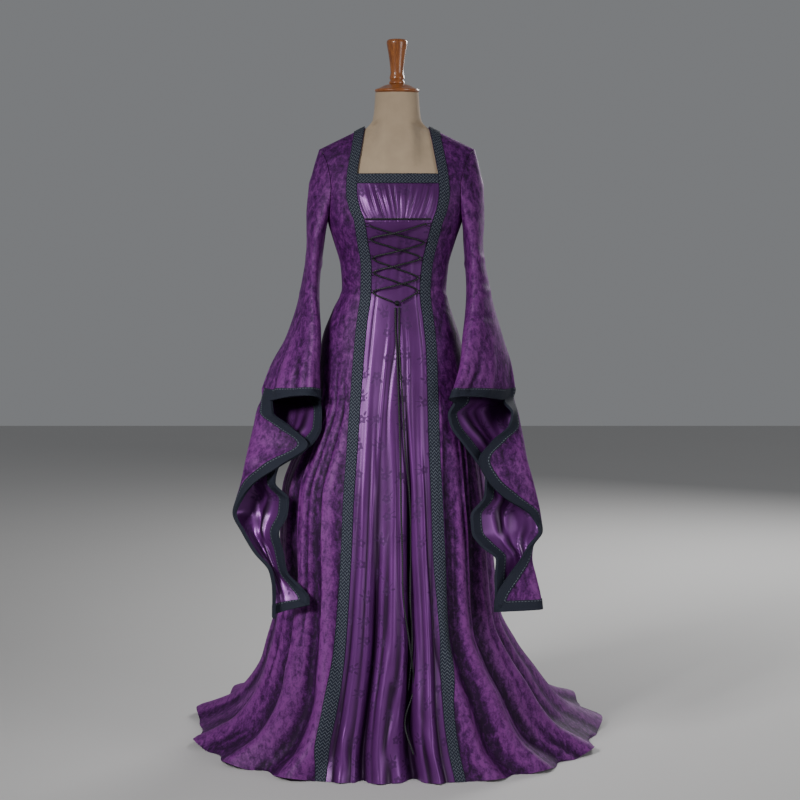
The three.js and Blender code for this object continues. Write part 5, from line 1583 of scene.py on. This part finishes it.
class GOWN_OT_velvet(bpy.types.Operator):
    """Velvet front and back panels, shoulder to hem"""

    bl_idname = "gown.velvet"
    bl_label = "Velvet panels"

    def execute(self, context):
        wall = thickness("velvet")
        for side in SIDES:
            panel(f"front_{side}", front_panel_grid(side), wall, "velvet")
            panel(f"back_{side}", back_panel_grid(side), wall, "velvet")
        return {"FINISHED"}


class GOWN_OT_satin(bpy.types.Operator):
    """Satin centre panel and gathered bodice insert"""

    bl_idname = "gown.satin"
    bl_label = "Satin panels"

    def execute(self, context):
        wall = thickness("satin")
        panel("centre_skirt", satin_skirt_grid(), wall, "satin")
        panel("centre_bodice", bodice_grid(), wall, "satin")
        return {"FINISHED"}


class GOWN_OT_sleeves(bpy.types.Operator):
    """Hanging sleeves with satin lining in the bell and braid round the whole edge"""

    bl_idname = "gown.sleeves"
    bl_label = "Sleeves"

    def execute(self, context):
        for side in SIDES:
            self.make(side)
        return {"FINISHED"}

    def make(self, side):
        velvet, lining, braid = thickness("velvet"), thickness("lining"), thickness("braid")
        grid, row_at, columns, split = sleeve_grid(side)
        normals = sleeve_normals(grid, row_at, split)
        closed = row_at <= split + 1e-6
        both = unit(normals[closed, 0] + normals[closed, -1])
        normals[closed, 0] = both
        normals[closed, -1] = both
        row = 0.5 * (row_at[1:] + row_at[:-1])[:, None]
        column = 0.5 * (columns[1:] + columns[:-1])[None, :]
        joined = (row < split)[:, 0]
        cloth = (row < split) | (column < SLEEVE_BACK_CELLS)
        uv = cloth_uv(grid)
        sleeve = shell(f"sleeve_{side}_cloth", grid, normals, 0, -velvet, uv, cloth, joined)
        merge_close(sleeve)
        finish_piece(sleeve, material("velvet"), [f"sleeve_{side}"], "velvet")
        top = -velvet - LINING_GAP
        inside = cloth & (row > split - CUFF_CELLS)
        satin = shell(f"sleeve_lining_{side}_cloth", grid, normals, top, top - lining, uv, inside, joined)
        merge_close(satin)
        finish_piece(satin, material("satin"), [f"sleeve_lining_{side}"], "satin")
        last = row_at[-1]
        beside = (column < CUFF_CELLS) | (column > SLEEVE_BACK_CELLS - CUFF_CELLS)
        bound = inside & (beside | (row > last - 1))
        down_at, across_at = row_at[:, None], columns[None, :]
        from_fold = SLEEVE_BACK_CELLS - across_at
        near = np.stack(np.broadcast_arrays(
            np.where(down_at >= split - CUFF_CELLS, across_at / CUFF_CELLS, FAR),
            np.where(from_fold >= 0, from_fold / CUFF_CELLS, FAR),
            last - down_at,
            np.where(from_fold <= 0, np.abs(split - down_at) / CUFF_CELLS, FAR),
        ))
        which = np.argmin(near, axis=0)
        down = np.concatenate([np.zeros((1, len(columns))),
                               np.cumsum(np.linalg.norm(np.diff(grid, axis=0), axis=-1), axis=0)]) * MM
        along = np.where(which < 2, down, uv[..., 0])
        cuff_uv = np.stack([near.min(axis=0), along], -1)
        stack = velvet + LINING_GAP + lining
        wrapped = past_edges(grid, row_at, columns, split)
        cuff = shell(f"braid_cuff_{side}_cloth", wrapped, normals, CUFF_GAP + braid,
                     -stack - CUFF_GAP - braid, cuff_uv, bound, joined)
        merge_close(cuff)
        finish_piece(cuff, material("cuff"), [f"braid_cuff_{side}"], "braid")


class GOWN_OT_braids(bpy.types.Operator):
    """Herringbone braid over the front seams and round the neckline"""

    bl_idname = "gown.braids"
    bl_label = "Braids"

    def execute(self, context):
        for side in SIDES:
            name = f"front_{side}"
            self.strip("braid_" + name, front_braid_grid(side), BRAID_GAP, False, [name + "_cloth"])
        backs = ["back_right_cloth", "back_left_cloth"]
        self.strip("braid_neck_front", neck_braid_front_grid(), BRAID_GAP, True, ["centre_bodice_cloth"])
        self.strip("braid_neck_back", neck_braid_back_grid(), BACK_BRAID_GAP, True, backs)
        return {"FINISHED"}

    def strip(self, name, grid, gap, lengthwise, under):
        """A tape with a slightly raised middle, whose u runs across it and v along it."""
        turned = grid if lengthwise else grid.transpose(1, 0, 2)
        across = np.linspace(0, 1, len(turned))[:, None]
        along = lengths_along(turned[len(turned) // 2])[None, :] * MM
        uv = np.stack(np.broadcast_arrays(across, along), -1)
        crown = np.broadcast_to(np.sin(np.pi * across), turned.shape[:2])
        outer = gap + thickness("braid") * (0.75 + 0.35 * crown ** 0.5)
        if not lengthwise:
            uv, outer = uv.transpose(1, 0, 2), outer.T
        obj = shell(name + "_tape", grid, body_normals(grid), outer, gap, uv)
        finish_piece(obj, material("braid"), [name], "braid")


class GOWN_OT_form(bpy.types.Operator):
    """Dress form: jersey torso, wooden cap and finial, pole and base"""

    bl_idname = "gown.form"
    bl_label = "Dress form"

    def execute(self, context):
        grid = form_grid()
        rows, columns = grid.shape[:2]
        index = np.arange(rows * columns).reshape(rows, columns)
        beside = np.roll(index, -1, axis=1)
        faces = np.stack([index[:-1], beside[:-1], beside[1:], index[1:]], -1).reshape(-1, 4).tolist()
        faces.append(index[0][::-1].tolist())
        faces.append(index[-1].tolist())
        torso = new_object("form_torso_jersey", grid.reshape(-1, 3), faces)
        finish_piece(torso, material("jersey"), ["form_torso"], "jersey")
        for name, (slot, foot, middle_y, steps, profile) in TURNED_PIECES.items():
            raised = [(radius, foot + height) for radius, height in profile]
            piece = lathe(f"{name}_{slot}", raised, middle_y, steps)
            finish_piece(piece, material(slot), [name], slot, 30)
        return {"FINISHED"}


def form_grid():
    """Sections of the torso from its foot to the top of the neck."""
    angle = np.linspace(0, 2 * np.pi, 96, endpoint=False)
    cos, sin = np.cos(angle), np.sin(angle)
    rows = []
    for z in map(np.float64, FORM_ROWS):
        side = BODY["side"](z)
        reach = np.where(cos > 0, side - BODY["front"](z), BODY["back"](z) - side)
        narrow = FORM_INSET + (CHEST_INSET if z >= CHEST_LINE else 0)
        rows.append(np.stack([
            BODY["middle"](z) + (BODY["half"](z) - narrow) * round_power(sin),
            side - (reach - FORM_INSET) * round_power(cos),
            np.full(len(angle), z),
        ], -1))
    for row in by_row(FORM_UPPER):
        z = np.float64(row["z"])
        side = BODY["side"](z) * (0.4 if z > NECK_POINT_HEIGHT else 1)
        x = BODY["middle"](z) + row["half"] * round_power(sin)
        facing = np.where(cos > 0, -1, 1)
        own = np.abs(np.where(cos > 0, row["front"], row["back"]) - side) * np.abs(round_power(cos))
        inset = (FORM_INSET, FORM_INSET, SHOULDER_SEAT)
        limit = np.where(cos > 0, np.abs(upper_point(x, z, -1, inset)[:, 1] - side),
                         np.abs(upper_point(x, z, 1, inset)[:, 1] - side))
        free = 1 - smoothstep(np.abs(x), 34, 62)
        free = np.where((cos > 0) & (z > BODICE_TOP), free, 0)
        if z > NECK_POINT_HEIGHT:
            free = np.ones_like(free)
        depth = lerp(np.minimum(own, limit), own, free)
        rows.append(np.stack([x, side + facing * depth, np.full(len(angle), z)], -1))
    rows = np.array(rows)
    z = rows[:, 0, 2]
    heights = np.concatenate([np.linspace(z[0], 1400, 60), np.linspace(1404, z[-1], 60)])
    return monotone(z, rows)(heights)


class GOWN_OT_stitches(bpy.types.Operator):
    """Rows of stitches along the braids and the hem"""

    bl_idname = "gown.stitches"
    bl_label = "Stitches"

    def execute(self, context):
        braids = []
        for grid in map(front_braid_grid, SIDES):
            braids += self.raised(grid, BRAID_GAP + BRAID_CREST, np.s_[:, [0, -1]], True)
        braids += self.raised(neck_braid_front_grid(), BRAID_GAP + BRAID_CREST, np.s_[[0, -1]])
        braids += self.raised(neck_braid_back_grid(), BACK_BRAID_GAP + BRAID_CREST, np.s_[[0, -1]])
        hem_row = int(np.argmin(np.abs(LOWER_HEIGHTS - HEM_STITCH_HEIGHT))) - len(LOWER_HEIGHTS)
        hems = []
        for grid in [*map(front_panel_grid, SIDES), *map(back_panel_grid, SIDES)]:
            hems += self.raised(grid, HEM_STITCH_LIFT, np.s_[[hem_row]])
        self.sew("braid_stitches", braids, BRAID_STITCH_SPACING, "navy_thread", "braid")
        self.sew("hem_stitches", hems, HEM_STITCH_SPACING, "purple_thread", "velvet")
        return {"FINISHED"}

    def raised(self, grid, lift, chosen, upright=False):
        """Lines of points over the chosen rows of a grid, or its columns where upright."""
        lines = (grid + body_normals(grid) * lift)[chosen]
        return list(lines.transpose(1, 0, 2) if upright else lines)

    def sew(self, name, lines, spacing, thread, slot):
        points, faces = stitch_row(lines, spacing, thickness("stitch_length"), thickness("thread_radius"))
        finish_piece(new_object(name, points, faces), material(thread), [], slot, 80)


class GOWN_PT_panel(bpy.types.Panel):
    """Lists the pieces of the gown"""

    bl_label = "Medieval gown"
    bl_idname = "GOWN_PT_panel"
    bl_space_type = "VIEW_3D"
    bl_region_type = "UI"
    bl_category = "Gown"

    def draw(self, context):
        for operator in OPERATORS:
            self.layout.operator(operator.bl_idname)
        for group in (context.scene.gown_sizes, context.scene.gown_colours):
            for name in type(group).__annotations__:
                self.layout.prop(group, name)


OPERATORS = (GOWN_OT_stage, GOWN_OT_cords, GOWN_OT_velvet, GOWN_OT_satin, GOWN_OT_sleeves, GOWN_OT_braids,
             GOWN_OT_form, GOWN_OT_stitches)


def register():
    for cls in (GownSizes, GownColours, *OPERATORS, GOWN_PT_panel):
        bpy.utils.register_class(cls)
    bpy.types.Scene.gown_sizes = bpy.props.PointerProperty(type=GownSizes)
    bpy.types.Scene.gown_colours = bpy.props.PointerProperty(type=GownColours)


def unregister():
    del bpy.types.Scene.gown_sizes
    del bpy.types.Scene.gown_colours
    for cls in (GOWN_PT_panel, *reversed(OPERATORS), GownColours, GownSizes):
        bpy.utils.unregister_class(cls)


def main():
    register()
    for operator in OPERATORS:
        group, name = operator.bl_idname.split(".")
        getattr(getattr(bpy.ops, group), name)()


if __name__ == "__main__":
    main()
